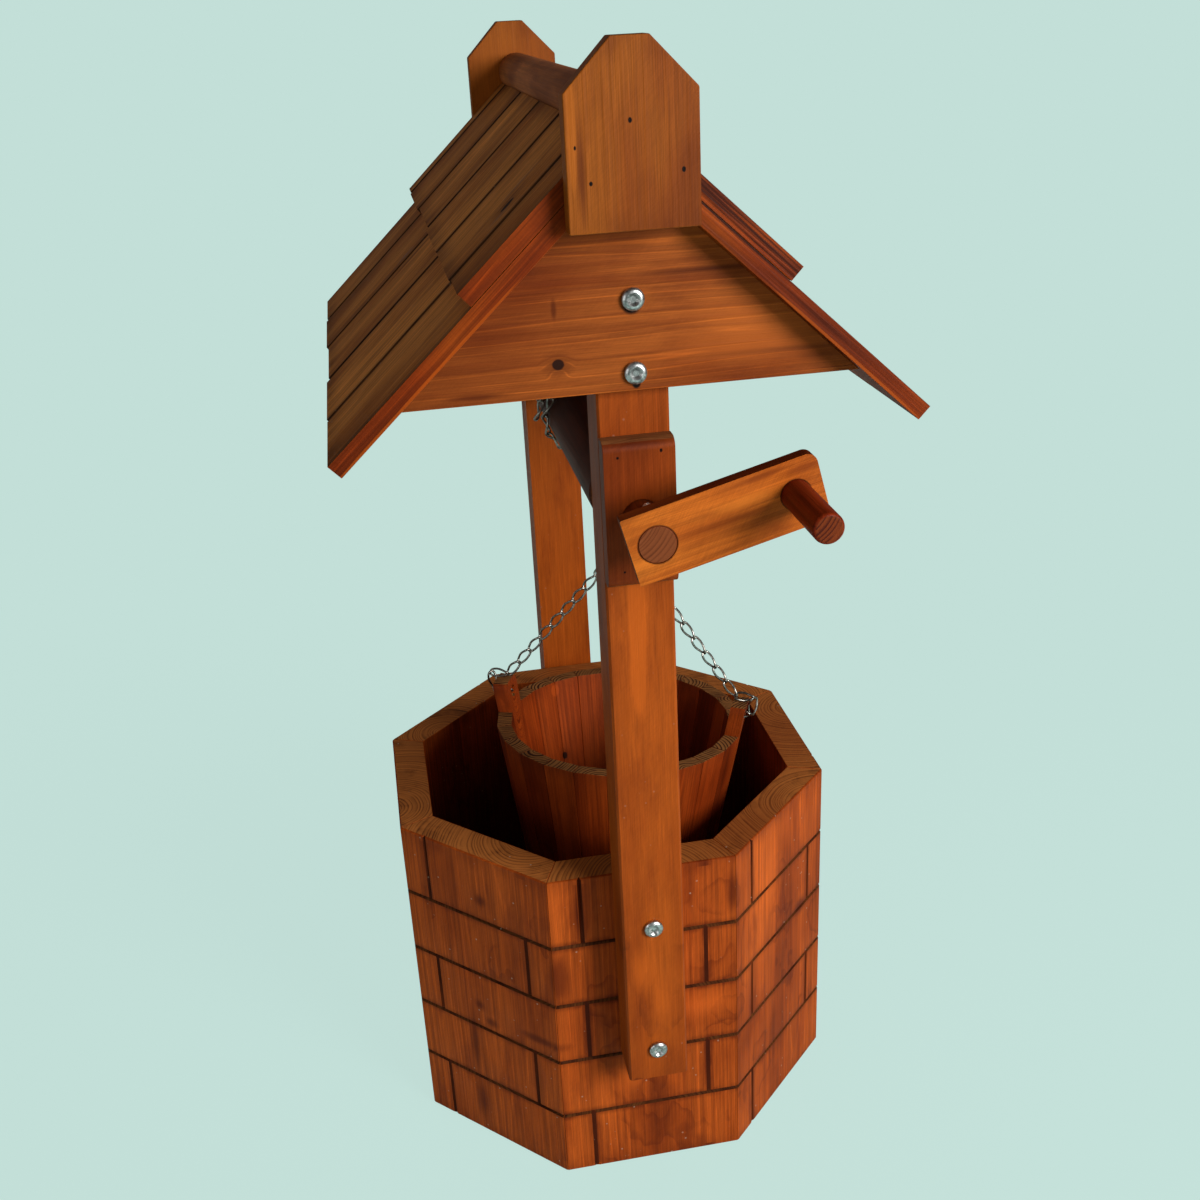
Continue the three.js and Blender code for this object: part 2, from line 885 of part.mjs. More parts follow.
// The ring hangs on the drop, under the roller's flank, and the bucket as far under the ring as
// two legs of this many links let it
function hangBucket() {
  const ring = new THREE.Vector3(jointRadius, bucketY, dropBottom - ringHook(chainPlay));
  bucket.position.set(jointRadius + bucketOffset, bucketY, 0);
  bucket.rotation.set(bucketTiltX * degrees, bucketTiltY * degrees, bucketTurn * degrees);
  bucket.updateMatrix();
  const reach = legLinks * linkPitch + ringHook(0);
  const rises = [-1, 1].map((sign) => {
    const end = legEnd(sign)[0];
    const run = Math.hypot(end.x - ring.x, end.y - ring.y);
    return end.z + Math.sqrt(reach * reach - run * run);
  });
  bucket.position.z = ring.z - (rises[0] + rises[1]) / 2;
  bucket.updateMatrix();
  return ring;
}

// The first links are turned so that their crown crosses the ring squarely
function legLinksOf(sign, centre, play) {
  const end = legEnd(sign);
  const toEar = end[0].clone().sub(centre).normalize();
  const start = centre.clone().addScaledVector(toEar, ringHook(play));
  const straight = straightJoints(start, end[0], legLinks);
  const joints = [...straight, ...end.slice(1)];
  const normals = joints.map((_, k) => {
    const left = Math.max(0, 1 - k / untwistCount);
    return legFacing().applyAxisAngle(toEar, -linkTwist * degrees * left);
  });
  return chain(joints, normals);
}

function ringGeometry(centre) {
  const ring = new THREE.TorusGeometry(ringRadius, ringWire / 2, ringSides, ringSteps);
  ring.rotateX(Math.PI / 2).applyQuaternion(bucket.quaternion);
  return ring.translate(centre.x, centre.y, centre.z);
}

function buildLegs(centre) {
  const left = fuse([ringGeometry(centre), ...legLinksOf(-1, centre, -crownBite)]);
  piece("chain_leg_left", left, steel(chainColour));
  piece("chain_leg_right", fuse(legLinksOf(1, centre, chainPlay)), steel(chainColour));
}

// The drop turns link by link from crossing the ring squarely to facing out from the roller
function buildDrop(centre) {
  const top = new THREE.Vector3(centre.x, centre.y, dropTop);
  const bottom = new THREE.Vector3(centre.x, centre.y, dropBottom);
  const joints = straightJoints(bottom, top, dropLinks);
  const outFromRoller = new THREE.Vector3(1, 0, 0);
  const overRing = legFacing().applyAxisAngle(new THREE.Vector3(0, 0, 1), -linkTwist * degrees);
  const normals = joints.map((_, k) => overRing.clone().lerp(outFromRoller, k / dropLinks));
  piece("chain_drop", fuse(chain(joints, normals)), steel(chainColour));
}

// Joint points of the wound chain, climbing from the drop over the roller towards the rear
function woundJoints(centre) {
  const height = dropTop - crownBite - chainPlay - axleHeight;
  const startAngle = Math.asin(height / jointRadius);
  const alongStep = (woundPitch * linkPitch) / (2 * Math.PI * jointRadius);
  const chord = Math.sqrt(linkPitch * linkPitch - alongStep * alongStep);
  const step = 2 * Math.asin(chord / 2 / jointRadius);
  return Array.from({ length: woundLinks + 1 }, (_, k) => {
    const angle = startAngle + k * step;
    const radius = k === woundLinks ? jointRadius + looseEndLift : jointRadius;
    return new THREE.Vector3(
      radius * Math.cos(angle),
      centre.y + k * alongStep,
      axleHeight + radius * Math.sin(angle),
    );
  });
}

function buildWound(centre) {
  const joints = woundJoints(centre);
  const normals = joints.slice(1).map((joint, k) => {
    const middle = joint.clone().add(joints[k]);
    return new THREE.Vector3(middle.x, 0, middle.z - 2 * axleHeight).normalize();
  });
  piece("chain_wound", fuse(chain(joints, normals)), steel(chainColour));
}

buildWalls();
buildFloor();
for (const side of ["front", "rear"]) {
  const end = new THREE.Group();
  end.rotation.z = side === "rear" ? Math.PI : 0;
  well.add(end);
  buildPost(`post_${side}`, end);
  buildGable(`gable_${side}`, end, side === "rear");
  buildFinial(`finial_${side}`, end, side === "rear");
  buildBolts(side, end);
  if (side === "front") buildBearingPlate(end);
}
buildRidge();
buildSlope("left");
buildSlope("right");
buildWindlass();
buildBucket();
const ringPoint = hangBucket();
buildLegs(ringPoint);
buildDrop(ringPoint);
buildWound(ringPoint);

export default well;
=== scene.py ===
import math
import random
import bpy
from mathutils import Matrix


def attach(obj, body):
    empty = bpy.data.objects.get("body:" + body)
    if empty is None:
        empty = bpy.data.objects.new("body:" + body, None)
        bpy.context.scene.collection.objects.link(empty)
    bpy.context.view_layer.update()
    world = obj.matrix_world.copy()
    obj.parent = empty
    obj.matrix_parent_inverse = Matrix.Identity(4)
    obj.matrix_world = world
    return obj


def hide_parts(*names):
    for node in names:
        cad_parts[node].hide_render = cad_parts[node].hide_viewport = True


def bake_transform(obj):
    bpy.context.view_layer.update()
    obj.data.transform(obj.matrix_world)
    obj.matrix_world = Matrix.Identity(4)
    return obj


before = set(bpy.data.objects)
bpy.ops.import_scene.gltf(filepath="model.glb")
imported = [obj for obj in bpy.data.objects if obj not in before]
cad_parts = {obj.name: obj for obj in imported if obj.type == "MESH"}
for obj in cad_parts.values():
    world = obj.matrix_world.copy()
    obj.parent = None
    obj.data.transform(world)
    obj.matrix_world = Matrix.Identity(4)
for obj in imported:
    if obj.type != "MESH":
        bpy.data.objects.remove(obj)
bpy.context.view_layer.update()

from types import SimpleNamespace

import bmesh
import bpy
import numpy as np
from mathutils import Matrix, Vector

mm = 0.001  # sizes below are in millimetres, and times mm they are in metres
full = 2 * math.pi


def colour(code):
    # a screen colour, turned into the linear values that shaders use
    parts = [int(code[k:k + 2], 16) / 255 for k in (0, 2, 4)]
    return [c / 12.92 if c <= 0.04045 else ((c + 0.055) / 1.055) ** 2.4 for c in parts] + [1.0]


class Flow:
    # a node socket that takes part in sums, in shader and geometry trees alike
    def __init__(self, tree, socket=None):
        self.tree = tree
        self.socket = socket

    def node(self, kind, settings=None, sockets=None, pick=0):
        made = self.tree.nodes.new(kind)
        for key, value in (settings or {}).items():
            if key == "stops":
                ramp = made.color_ramp
                while len(ramp.elements) < len(value):
                    ramp.elements.new(0.5)
                for element, (place, tone) in zip(ramp.elements, value):
                    element.position = place
                    element.color = (tone, tone, tone, 1)
            else:
                setattr(made, key, value)
        for key, value in (sockets or {}).items():
            if isinstance(value, Flow):
                self.tree.links.new(value.socket, made.inputs[key])
            else:
                made.inputs[key].default_value = value
        return Flow(self.tree, made.outputs[pick] if made.outputs else None)

    def output(self, pick):
        return Flow(self.tree, self.socket.node.outputs[pick])

    def sum(self, operation, *values):
        return self.node("ShaderNodeMath", {"operation": operation}, dict(enumerate(values)))

    def maths(self, operation, *others):
        return self.sum(operation, self, *others)

    def __add__(self, other):
        return self.sum("ADD", self, other)

    def __sub__(self, other):
        return self.sum("SUBTRACT", self, other)

    def __mul__(self, other):
        return self.sum("MULTIPLY", self, other)

    def __truediv__(self, other):
        return self.sum("DIVIDE", self, other)

    def __rsub__(self, other):
        return self.sum("SUBTRACT", other, self)

    def __rtruediv__(self, other):
        return self.sum("DIVIDE", other, self)

    def vector(self, operation, *others, pick=0):
        sockets = dict(enumerate((self, *others)))
        return self.node("ShaderNodeVectorMath", {"operation": operation}, sockets, pick)

    def stretched(self, x, y, z):
        return self.vector("MULTIPLY", (x, y, z))

    def scaled(self, amount):
        return self.node("ShaderNodeVectorMath", {"operation": "SCALE"}, {0: self, "Scale": amount})

    def length(self):
        return self.vector("LENGTH", pick="Value")

    def split(self):
        parts = self.node("ShaderNodeSeparateXYZ", {}, {0: self})
        return [parts.output(k) for k in range(3)]

    def joined(self, x, y, z):
        return self.node("ShaderNodeCombineXYZ", {}, {0: x, 1: y, 2: z})

    def noise(self, detail=3.0, rough=0.55, pick=0):
        sockets = {"Vector": self, "Scale": 1.0, "Detail": detail, "Roughness": rough}
        return self.node("ShaderNodeTexNoise", {}, sockets, pick)

    def ramp(self, *stops):
        return self.node("ShaderNodeValToRGB", {"stops": stops}, {0: self})

    def between(self, low, high):
        # 0 below low, 1 above high, smooth on the way
        sockets = {0: self, 1: low, 2: high}
        return self.node("ShaderNodeMapRange", {"interpolation_type": "SMOOTHSTEP"}, sockets)

    def blended(self, share, first, second):
        return self.node("ShaderNodeMix", {"data_type": "RGBA"}, {0: share, 6: first, 7: second}, 2)

    def mixed(self, share, other):
        return self.blended(share, self, other)


# Camera, light and floor: places and sizes in metres, angles in degrees
view = {
    "place": (-0.2048, -1.3337, 1.1718),
    "yaw": 9.117,
    "pitch": 24.096,
    "roll": -2.975,
    "focalPixels": 1373.6,
    "imagePixels": 1200,
    "background": "c3dfd8",
    "keyPlace": (1.5, -2.26, 1.6),
    "keySize": 1.3,
    "keyPower": 80.0,
    "fillPlace": (-2.2, -1.9, 1.0),
    "fillSize": 1.6,
    "fillPower": 9.0,
    "rearPlace": (-0.5, 2.8, 0.9),
    "rearSize": 1.8,
    "rearPower": 18.0,
    "lampTarget": (0, 0, 0.6),
    "ambient": 0.12,
    "shadowShare": 0.08,
    "floorGlow": 1.045,
    "darkGround": (0.2, 0.215),
    "farFloor": (0.7, 1.9),
    "floorReach": 900,
}


def makeCamera():
    yaw, pitch, roll = (math.radians(view[k]) for k in ("yaw", "pitch", "roll"))
    level = math.cos(pitch)
    forward = Vector((math.sin(yaw) * level, math.cos(yaw) * level, -math.sin(pitch)))
    side = forward.cross(Vector((0, 0, 1))).normalized()
    up = side.cross(forward)
    right = math.cos(roll) * side + math.sin(roll) * up
    top = math.cos(roll) * up - math.sin(roll) * side
    data = bpy.data.cameras.new("camera")
    data.sensor_width = 36
    data.lens = view["focalPixels"] / view["imagePixels"] * data.sensor_width
    data.clip_start = 0.02
    data.clip_end = 3000
    camera = bpy.data.objects.new("camera", data)
    turned = Matrix((right, top, -forward)).transposed().to_4x4()
    camera.matrix_world = Matrix.Translation(view["place"]) @ turned
    bpy.context.collection.objects.link(camera)
    bpy.context.scene.camera = camera


def makeLamp(name):
    data = bpy.data.lights.new(name, "AREA")
    data.shape = "DISK"
    data.size = view[name + "Size"]
    data.energy = view[name + "Power"]
    place = Vector(view[name + "Place"])
    aim = (Vector(view["lampTarget"]) - place).to_track_quat("-Z", "Y").to_matrix().to_4x4()
    lamp = bpy.data.objects.new(name, data)
    lamp.matrix_world = Matrix.Translation(place) @ aim
    lamp.visible_camera = False
    lamp.visible_glossy = name != "rear"  # or its sheen would lie over the roof and the roller
    bpy.context.collection.objects.link(lamp)


def newMaterial(name):
    material = bpy.data.materials.new(name)
    material.use_nodes = True
    material.node_tree.nodes.clear()
    return material, Flow(material.node_tree)


def makeWorld():
    world = bpy.data.worlds.new("studio")
    world.use_nodes = True
    world.node_tree.nodes.clear()
    start = Flow(world.node_tree)
    seen = start.node("ShaderNodeLightPath", pick="Is Camera Ray")
    soft = start.node("ShaderNodeBackground", {}, {"Color": (1, 1, 1, 1), "Strength": view["ambient"]})
    shown = start.node("ShaderNodeBackground", {}, {"Color": colour(view["background"]), "Strength": 1.0})
    both = start.node("ShaderNodeMixShader", {}, {0: seen, 1: soft, 2: shown})
    start.node("ShaderNodeOutputWorld", {}, {"Surface": both})
    bpy.context.scene.world = world


def makeFloor():
    material, start = newMaterial("floorPaint")
    seen = start.node("ShaderNodeLightPath", pick="Is Camera Ray")
    shade = colour(view["background"])
    paint = start.node("ShaderNodeBsdfDiffuse", {}, {"Color": shade})
    glow = start.node("ShaderNodeEmission", {}, {"Color": shade, "Strength": view["floorGlow"]})
    plain = start.node("ShaderNodeEmission", {}, {"Color": shade, "Strength": 1.0})
    away = start.node("ShaderNodeTexCoord", pick="Object").stretched(1, 1, 0).length()
    # nothing lights the ground inside the walls, which shows through the drain holes
    share = seen * away.between(*view["darkGround"]) * (1 - view["shadowShare"])
    near = start.node("ShaderNodeMixShader", {}, {0: share, 1: paint, 2: glow})
    # further off the floor has the backdrop's plain colour, so that no lamp's edge shows on it
    far = seen * away.between(*view["farFloor"])
    both = start.node("ShaderNodeMixShader", {}, {0: far, 1: near, 2: plain})
    start.node("ShaderNodeOutputMaterial", {}, {"Surface": both})
    mesh = bpy.data.meshes.new("floor")
    reach = view["floorReach"]
    corners = [(-reach, -reach, 0), (reach, -reach, 0), (reach, reach, 0), (-reach, reach, 0)]
    mesh.from_pydata(corners, [], [(0, 1, 2, 3)])
    mesh.materials.append(material)
    floor = bpy.data.objects.new("floor", mesh)
    bpy.context.collection.objects.link(floor)


bpy.context.scene.view_settings.view_transform = "Standard"
makeCamera()
for lamp in ("key", "fill", "rear"):
    makeLamp(lamp)
makeWorld()
makeFloor()
print("stage: camera, lamps and floor made")


# The main shape's sizes, in millimetres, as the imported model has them
sizes = {
    "acrossFlats": 460, "wellHeight": 378, "wallSides": 8, "roofAngle": 43, "roofShift": -4,
    "ridgeHeight": 1092.5, "slatThickness": 14, "halfRoof": 317, "slatCover": 134, "gap": 0.3,
    "postOuter": 277.3, "gableOuter": 291.6, "axleHeight": 770.5, "axleRadius": 15.7,
    "finialThickness": 19, "plateThickness": 18,
}
slope = math.radians(sizes["roofAngle"])


# Stained softwood. Each mesh carries "grain", its places in its own board: x across, y into the
# board, z along the grain, with the pith at x = y = 0; "local", the same from the board's middle;
# "half", the board's half sizes; and "wear": edge, end grain and groove.
# light, base, dark, stain, groove: the colours, endLight and endDark those of the ends. ring: the
# growth rings' width in millimetres, rough: the roughness, the rest: how strongly a trait shows
plainWood = {
    "endLight": "8a5526", "endDark": "4c2a12", "blotch": 0.4, "thread": 0.2, "hatch": 0.45,
    "fleck": 0.0, "scuff": 0.08, "soaked": 0.3, "sides": 0.0, "tide": 0.3, "streak": 0.35,
    "edge": 0.3, "rough": 0.5,
}
woods = {
    "wallWood": {
        "light": "b65217", "base": "9d420f", "dark": "6d2407", "stain": "4d1504", "groove": "2f0d03",
        "ring": 5.2, "ringShare": 0.3, "endLight": "b86c30", "endDark": "4a220c", "blotch": 0.42,
        "thread": 0.25, "hatch": 0.62, "fleck": 0.5, "soaked": 0.35, "tide": 0.35, "streak": 0.45,
        "edge": 0.35, "rough": 0.55,
    },
    "postWood": {
        "light": "a34b11", "base": "8e3d0c", "dark": "732c08", "stain": "572108", "groove": "2f0f03",
        "ring": 9.0, "ringShare": 0.12, "blotch": 0.45, "thread": 0.12, "fleck": 0.15, "soaked": 0.2,
        "tide": 0.5, "streak": 0.18,
    },
    "gableWood": {
        "light": "954b18", "base": "773309", "dark": "5e2105", "stain": "411403", "groove": "260b02",
        "ring": 9.0, "ringShare": 0.45, "blotch": 0.35, "thread": 0.6, "soaked": 0.2, "tide": 0.1,
        "streak": 0.22, "rough": 0.52,
    },
    "slatWood": {
        "light": "ca7d37", "base": "a55e23", "dark": "784015", "stain": "593010", "groove": "22130a",
        "ring": 4.6, "ringShare": 0.35, "endLight": "a04a1c", "endDark": "7c3414", "thread": 0.25,
        "fleck": 0.1, "soaked": 0.5, "sides": 0.4, "tide": 0.35, "streak": 0.4, "edge": 0.15,
        "rough": 0.7,
    },
    "finialWood": {
        "light": "924d14", "base": "7d3b0f", "dark": "642a0a", "stain": "532008", "groove": "260a03",
        "ring": 7.5, "ringShare": 0.12, "blotch": 0.35, "thread": 0.08, "scuff": 0.09, "tide": 0.25,
        "streak": 0.12,
    },
    "ridgeWood": {
        "light": "be703a", "base": "925028", "dark": "6f3819", "stain": "582913", "groove": "3b1c0b",
        "ring": 6.0, "ringShare": 0.2, "endLight": "7a4a26", "endDark": "3c2010", "edge": 0.2,
        "rough": 0.6,
    },
    # the roller's wood: the ridge wood made darker, painted with the shade that lies on the roller under
    # the roof
    "rollerWoodPaintedShade": {
        "light": "5a2c1c", "base": "46200f", "dark": "28120c", "stain": "1e0c08", "groove": "140806",
        "ring": 6.0, "ringShare": 0.2, "endLight": "7a4a26", "endDark": "3c2010", "tide": 0.2,
        "edge": 0.2, "rough": 0.55,
    },
    "plateWood": {
        "light": "8d3d0e", "base": "7b3109", "dark": "632306", "stain": "4b1906", "groove": "270a02",
        "ring": 9.0, "ringShare": 0.15, "endLight": "84502a", "endDark": "40200e", "blotch": 0.45,
        "thread": 0.1, "streak": 0.25, "edge": 0.12,
    },
    "slatEdgeWood": {
        "light": "91400a", "base": "772a04", "dark": "5a1b02", "stain": "3d1102", "groove": "270c02",
        "ring": 3.4, "ringShare": 0.35, "endLight": "a0602c", "endDark": "6c3414", "thread": 0.4,
        "streak": 0.6, "edge": 0.4,
    },
    "crankWood": {
        "light": "bf671f", "base": "b95c18", "dark": "8d3d0d", "stain": "763008", "groove": "391204",
        "ring": 6.5, "ringShare": 0.42, "endLight": "7a4220", "endDark": "5a2c12", "blotch": 0.6,
        "thread": 0.15, "scuff": 0.16, "soaked": 0.2, "edge": 0.35,
    },
    "handleWood": {
        "light": "8c300c", "base": "701f06", "dark": "4e1204", "stain": "3c0a02", "groove": "290702",
        "ring": 3.2, "ringShare": 0.3, "endLight": "72300f", "endDark": "401206", "blotch": 0.3,
        "hatch": 1.0, "tide": 0.2, "streak": 0.5, "rough": 0.42,
    },
    "axleWood": {
        "light": "7c3610", "base": "642608", "dark": "471804", "stain": "381004", "groove": "290702",
        "ring": 4.5, "ringShare": 0.3, "endLight": "7c4020", "endDark": "582a12", "blotch": 0.3,
        "hatch": 0.7, "tide": 0.2,
    },
    "bucketWood": {
        "light": "963c0e", "base": "7b2b07", "dark": "531704", "stain": "340c02", "groove": "210802",
        "ring": 2.8, "ringShare": 0.35, "endLight": "9a6434", "endDark": "2c120a", "blotch": 0.5,
        "hatch": 1.2, "tide": 0.4, "streak": 0.38, "rough": 0.55,
    },
}

# What the photograph shows on the boards: kind, place in the frame, half width and half length in
# millimetres, and the way that it runs: its angle up from level, seen from the front
marks = {
    "gableWood": [
        ("knot", (-61, -291.6, 903.5), 4.5, 5, 0), ("stain", (-62, -291.6, 946.5), 2.2, 9, 90),
        # painted shade: the gable's left part made darker
        ("paintedShade", (-150, -291.6, 920), 70, 130, 43),
        ("stain", (-128, -291.6, 884), 3, 26, 0), ("stain", (60, -291.6, 968), 3, 60, 0),
        ("stain", (-100, -291.6, 975), 6, 30, 0), ("stain", (110, -291.6, 900), 2.5, 55, 0),
        # the holes are painted shadow just below the two bolt heads
        ("hole", (0.6, -291.6, 883.5), 5, 4, 0), ("hole", (-1.0, -291.6, 946), 8.8, 8.2, 0),
        # painted light: the gable's right part made paler
        ("pale", (95, -291.6, 915), 32, 80, 0),
    ],
    "wallWood": [
        ("stain", (-157.9, -167.4, 324), 9, 8, 90), ("stain", (-168.6, -156.7, 183), 8, 8, 90),
        ("stain", (-158.2, -167, 165), 9, 7, 90), ("stain", (-177, -148, 129), 8, 46, 90),
        ("stain", (-175, -150.3, 45), 10, 34, 90), ("stain", (-111.5, -213.7, 172), 30, 6, 90),
        ("tide", (76, -230, 331), 24, 19, 90), ("tide", (88, -230, 186), 20, 17, 90),
        ("tide", (-60, -230, 92), 26, 20, 90), ("tide", (160, -166, 240), 30, 22, 90),
        ("stain", (92, -230, 338), 7, 26, 90), ("stain", (-66, -230, 340), 5, 34, 90),
        ("stain", (-89, -230, 262), 12, 38, 90), ("pale", (62, -230, 200), 30, 18, 90),
        ("pale", (-20, -230, 120), 16, 24, 90), ("stain", (196, -130, 228), 16, 12, 90),
        # the last two marks are painted shade on the rim's top, at the front right and at the right
        ("pale", (150, -175, 300), 18, 40, 90), ("paintedShade", (120, -190, 382), 75, 9, 90),
        ("paintedShade", (212, 0, 382), 80, 9, 90),
    ],
    "postWood": [
        ("flame", (-4, -277.3, 664), 8.5, 92, 90), ("pale", (-13, -277.3, 292), 12, 26, 90),
        ("pale", (6, -277.3, 250), 9, 32, 90), ("tide", (2, -277.3, 250), 22, 34, 90),
        ("tide", (18, -277.3, 292), 16, 26, 90),
    ],
    "plateWood": [
        # the holes are painted shade round the nail heads
        ("hole", (-18, -295.6, 824), 1.3, 1.3, 90), ("hole", (18, -295.6, 827), 1.3, 1.7, 90),
        ("hole", (-16, -295.6, 724), 1.1, 1.1, 90), ("stain", (0, -295.6, 834), 34, 3, 90),
    ],
    "finialWood": [
        # the holes are painted shade round the nail heads and in one empty nail hole
        ("hole", (-5.8, -336.3, 1084.4), 1.5, 2.1, 90), ("hole", (-35.7, -336.3, 1043.1), 1.5, 1.8, 90),
        ("hole", (32.3, -336.3, 1048.7), 1.6, 2.3, 90), ("stain", (-42, -336.3, 1052), 4, 40, 90),
        ("flame", (-48, -336.3, 1082), 3.6, 42, 90), ("pale", (-8, 322, 1075), 70, 80, 90),
        ("hole", (-46, -336.3, 1068), 1, 1.6, 90),
    ],
    "slatWood": [
        ("knot", (-84.5, -224.6, 1017.4), 5, 8, 43), ("grey", (-71, -200, 1030), 4.5, 24, 43),
        ("grey", (-93, -232, 1009.5), 5, 13, 43), ("stain", (-82, -215, 1020), 3, 30, 43),
        ("grey", (-156, 97, 930), 7, 12, 43), ("stain", (-150, 60, 935), 6, 40, 43),
    ],
    "crankWood": [
        # the two rims are painted shade in the gaps round the axle's end and round the handle's foot
        ("rim", (0, -357, 770.5), 16.2, 16.2, 0), ("rim", (112.3, -357, 799.7), 13, 13, 0),
        ("stain", (50, -357, 782), 3.5, 60, 14.6), ("stain", (84, -357, 818), 3, 26, 14.6),
        ("stain", (118, -357, 822), 4, 22, 14.6), ("pale", (70, -357, 798), 5, 34, 14.6),
        ("pale", (-6, -357, 757), 4, 30, 14.6),
    ],
    "bucketWood": [
        ("flame", (-36, 98, 414), 6, 7, 90), ("knot", (-29.9, 81, 334), 3, 4.4, 90),
        # the first mark here is painted shadow over the bucket's lower left
        ("paintedShade", (-96, -80, 340), 55, 70, 90), ("stain", (-104, 13, 470), 14, 12, 90),
        ("stain", (-116, 30, 452), 12, 22, 90),
    ],
    "slatEdgeWood": [
        ("shade", (71.6, -317, 1012.4), 11, 95, -43), ("stain", (-38, -317, 1046), 10, 30, 43),
        ("flame", (-168, -317, 902.5), 1.5, 110, 43), ("flame", (160, -317, 902.5), 1.5, 90, -43),
        ("stain", (140, -317, 930), 2.5, 60, -43),
    ],
}


def spotDistance(place, spot, across, long, way, ragged):
    # 1 on the mark's outline, less within it
    away = place.vector("SUBTRACT", [v * mm for v in spot])
    if way not in (0, 90):
        turn = (0.0, math.radians(way), 0.0)
        sockets = {0: away, "Rotation": turn}
        away = away.node("ShaderNodeVectorRotate", {"rotation_type": "EULER_XYZ"}, sockets)
    narrow, wide = 1 / (across * mm), 1 / (long * mm)
    away = away.stretched(*((narrow, narrow, wide) if way == 90 else (wide, narrow, narrow)))
    return away.length() + ragged


# Where a mark fades out, in shares of the way to its outline, and how ragged its outline is
markReach = {
    "knot": (0.8, 1.1), "hole": (0.7, 1.1), "stain": (0.2, 1.35), "pale": (0.0, 1.45),
    "flame": (0.75, 1.15), "grey": (0.1, 1.5), "rim": (1.0, 1.06), "shade": (0.8, 1.3),
    "paintedShade": (0.2, 1.6), "tide": (0.97, 1.05), "halo": (0.8, 3.4),
}
markRagged = {"hole": 0.15, "rim": 0.02, "shade": 0.3, "tide": 1.8}
# A rim and a tide mark are lines, so they fade inwards too
markInside = {"rim": (0.93, 0.98), "tide": (0.5, 0.97)}


def markShares(start, name, ragged):
    # how much of each kind of mark lies on a point
    place = start.node("ShaderNodeTexCoord", pick="Object")
    found = {}

    def keep(kind, share):
        found[kind] = share.maths("MAXIMUM", found[kind]) if kind in found else share

    for kind, spot, across, long, way in marks.get(name, []):
        far = spotDistance(place, spot, across, long, way, ragged * markRagged.get(kind, 0.9))
        share = 1 - far.between(*markReach[kind])
        if kind in markInside:
            share = share * far.between(*markInside[kind])
        # a flame is a pale patch with a crisp outline
        keep("pale" if kind == "flame" else kind, share)
        if kind == "knot":
            keep("halo", 1 - far.between(*markReach["halo"]))
    return found


# The brick pattern on a board, in millimetres from its middle and its foot
bricks = {
    "halfBoard": 189, "firstLine": 79.5, "course": 73, "lastLine": 3.0, "offset": 63,
    "fade": (1.5, 9.0), "outerFace": (-0.012, -0.008),
}


def brickShade(local):
    # the stain lies thicker beside the routed joints of the brick pattern
    x, y, z = local.split()
    course = (z * 1000 + bricks["halfBoard"] - bricks["firstLine"]) / bricks["course"]
    line = course.maths("ROUND").maths("MAXIMUM", 0.0).maths("MINIMUM", bricks["lastLine"])
    row = course.maths("FLOOR") + 1
    odd = (row / 2).maths("FRACT") * 4 - 1
    joint = (x * 1000 - odd * bricks["offset"]).maths("ABSOLUTE")
    level = (course - line).maths("ABSOLUTE") * bricks["course"]
    near = joint.maths("MINIMUM", level)
    outside = 1 - y.between(*bricks["outerFace"])
    return (1 - near.between(*bricks["fade"])) * outside


# Noises in the grain: how fine they are across, into and along the board, detail and roughness
grainNoises = {
    "patch": (36, 36, 11, 4.0, 0.62),
    "streak": (260, 260, 4.5, 4.0, 0.65),
    "fibre": (1300, 1300, 26, 3.0, 0.6),
    "speck": (1100, 1100, 1100, 2.0, 0.5),
    "cloud": (13, 13, 5, 3.0, 0.5),
    "tide": (17, 17, 10, 3.0, 0.5),
}
# How dark a growth ring is from its start to its end, on the faces, as a thread and on the ends
lateRamp = ((0.0, 0.0), (0.4, 0.15), (0.84, 1.0), (0.93, 0.35), (1.0, 0.0))
threadRamp = ((0.0, 0.3), (0.05, 1.0), (0.14, 0.0), (0.97, 0.0), (1.0, 0.3))
endRamp = ((0.0, 0.0), (0.4, 0.15), (0.75, 1.0), (0.92, 0.2), (1.0, 0.0))
endLineWidth = 3.6  # millimetres between the rings on the ends of the boards
# How strongly each kind of mark shows, and its colour: one of the wood's own or a code
markLooks = {
    # paintedShade marks are painted shade where light falls off or a shadow lies; rim marks are painted
    # shade in gaps between parts
    "stain": (0.7, "stain"), "shade": (0.9, "2c0d05"), "rim": (0.7, "1e0a04"), "paintedShade": (0.45, "dark"),
    "tide": (0.32, "stain"), "pale": (0.6, "light"), "grey": (0.5, "6e6660"), "halo": (0.35, "stain"),
    "knot": (0.95, "1e0c06"),
}
innerShadeFade = (0.04, 0.17)  # metres over a wall board's middle where the painted shade on its inner face thins out, so that the face gets lighter
innerFace = (0.014, 0.0165)  # metres from its middle in to that face
# hole: the colour of the painted shade in holes and just under bolt heads; fleck: light flecks in the wood
flecksAndHoleShade = {"hole": "0c0503", "fleck": "b8a48c", "flecksPerMetre": 90.0, "fleckSize": (0.07, 0.11)}


def boardValues(start):
    # what a mesh stores about its boards, and the noises in their grain
    grain, local, half, wear = (start.node("ShaderNodeAttribute", {"attribute_name": label}, pick="Vector")
                                for label in ("grain", "local", "half", "wear"))
    at = SimpleNamespace(grain=grain, local=local)
    at.across, at.deep, at.along = grain.split()
    at.edge, at.end, at.groove = wear.split()
    # how far in from the board's long edges and from its ends
    at.fromSide, _, at.fromEnd = half.vector("SUBTRACT", local.vector("ABSOLUTE")).split()
    for name, (x, y, z, detail, rough) in grainNoises.items():
        setattr(at, name, grain.stretched(x, y, z).noise(detail, rough))
    return at


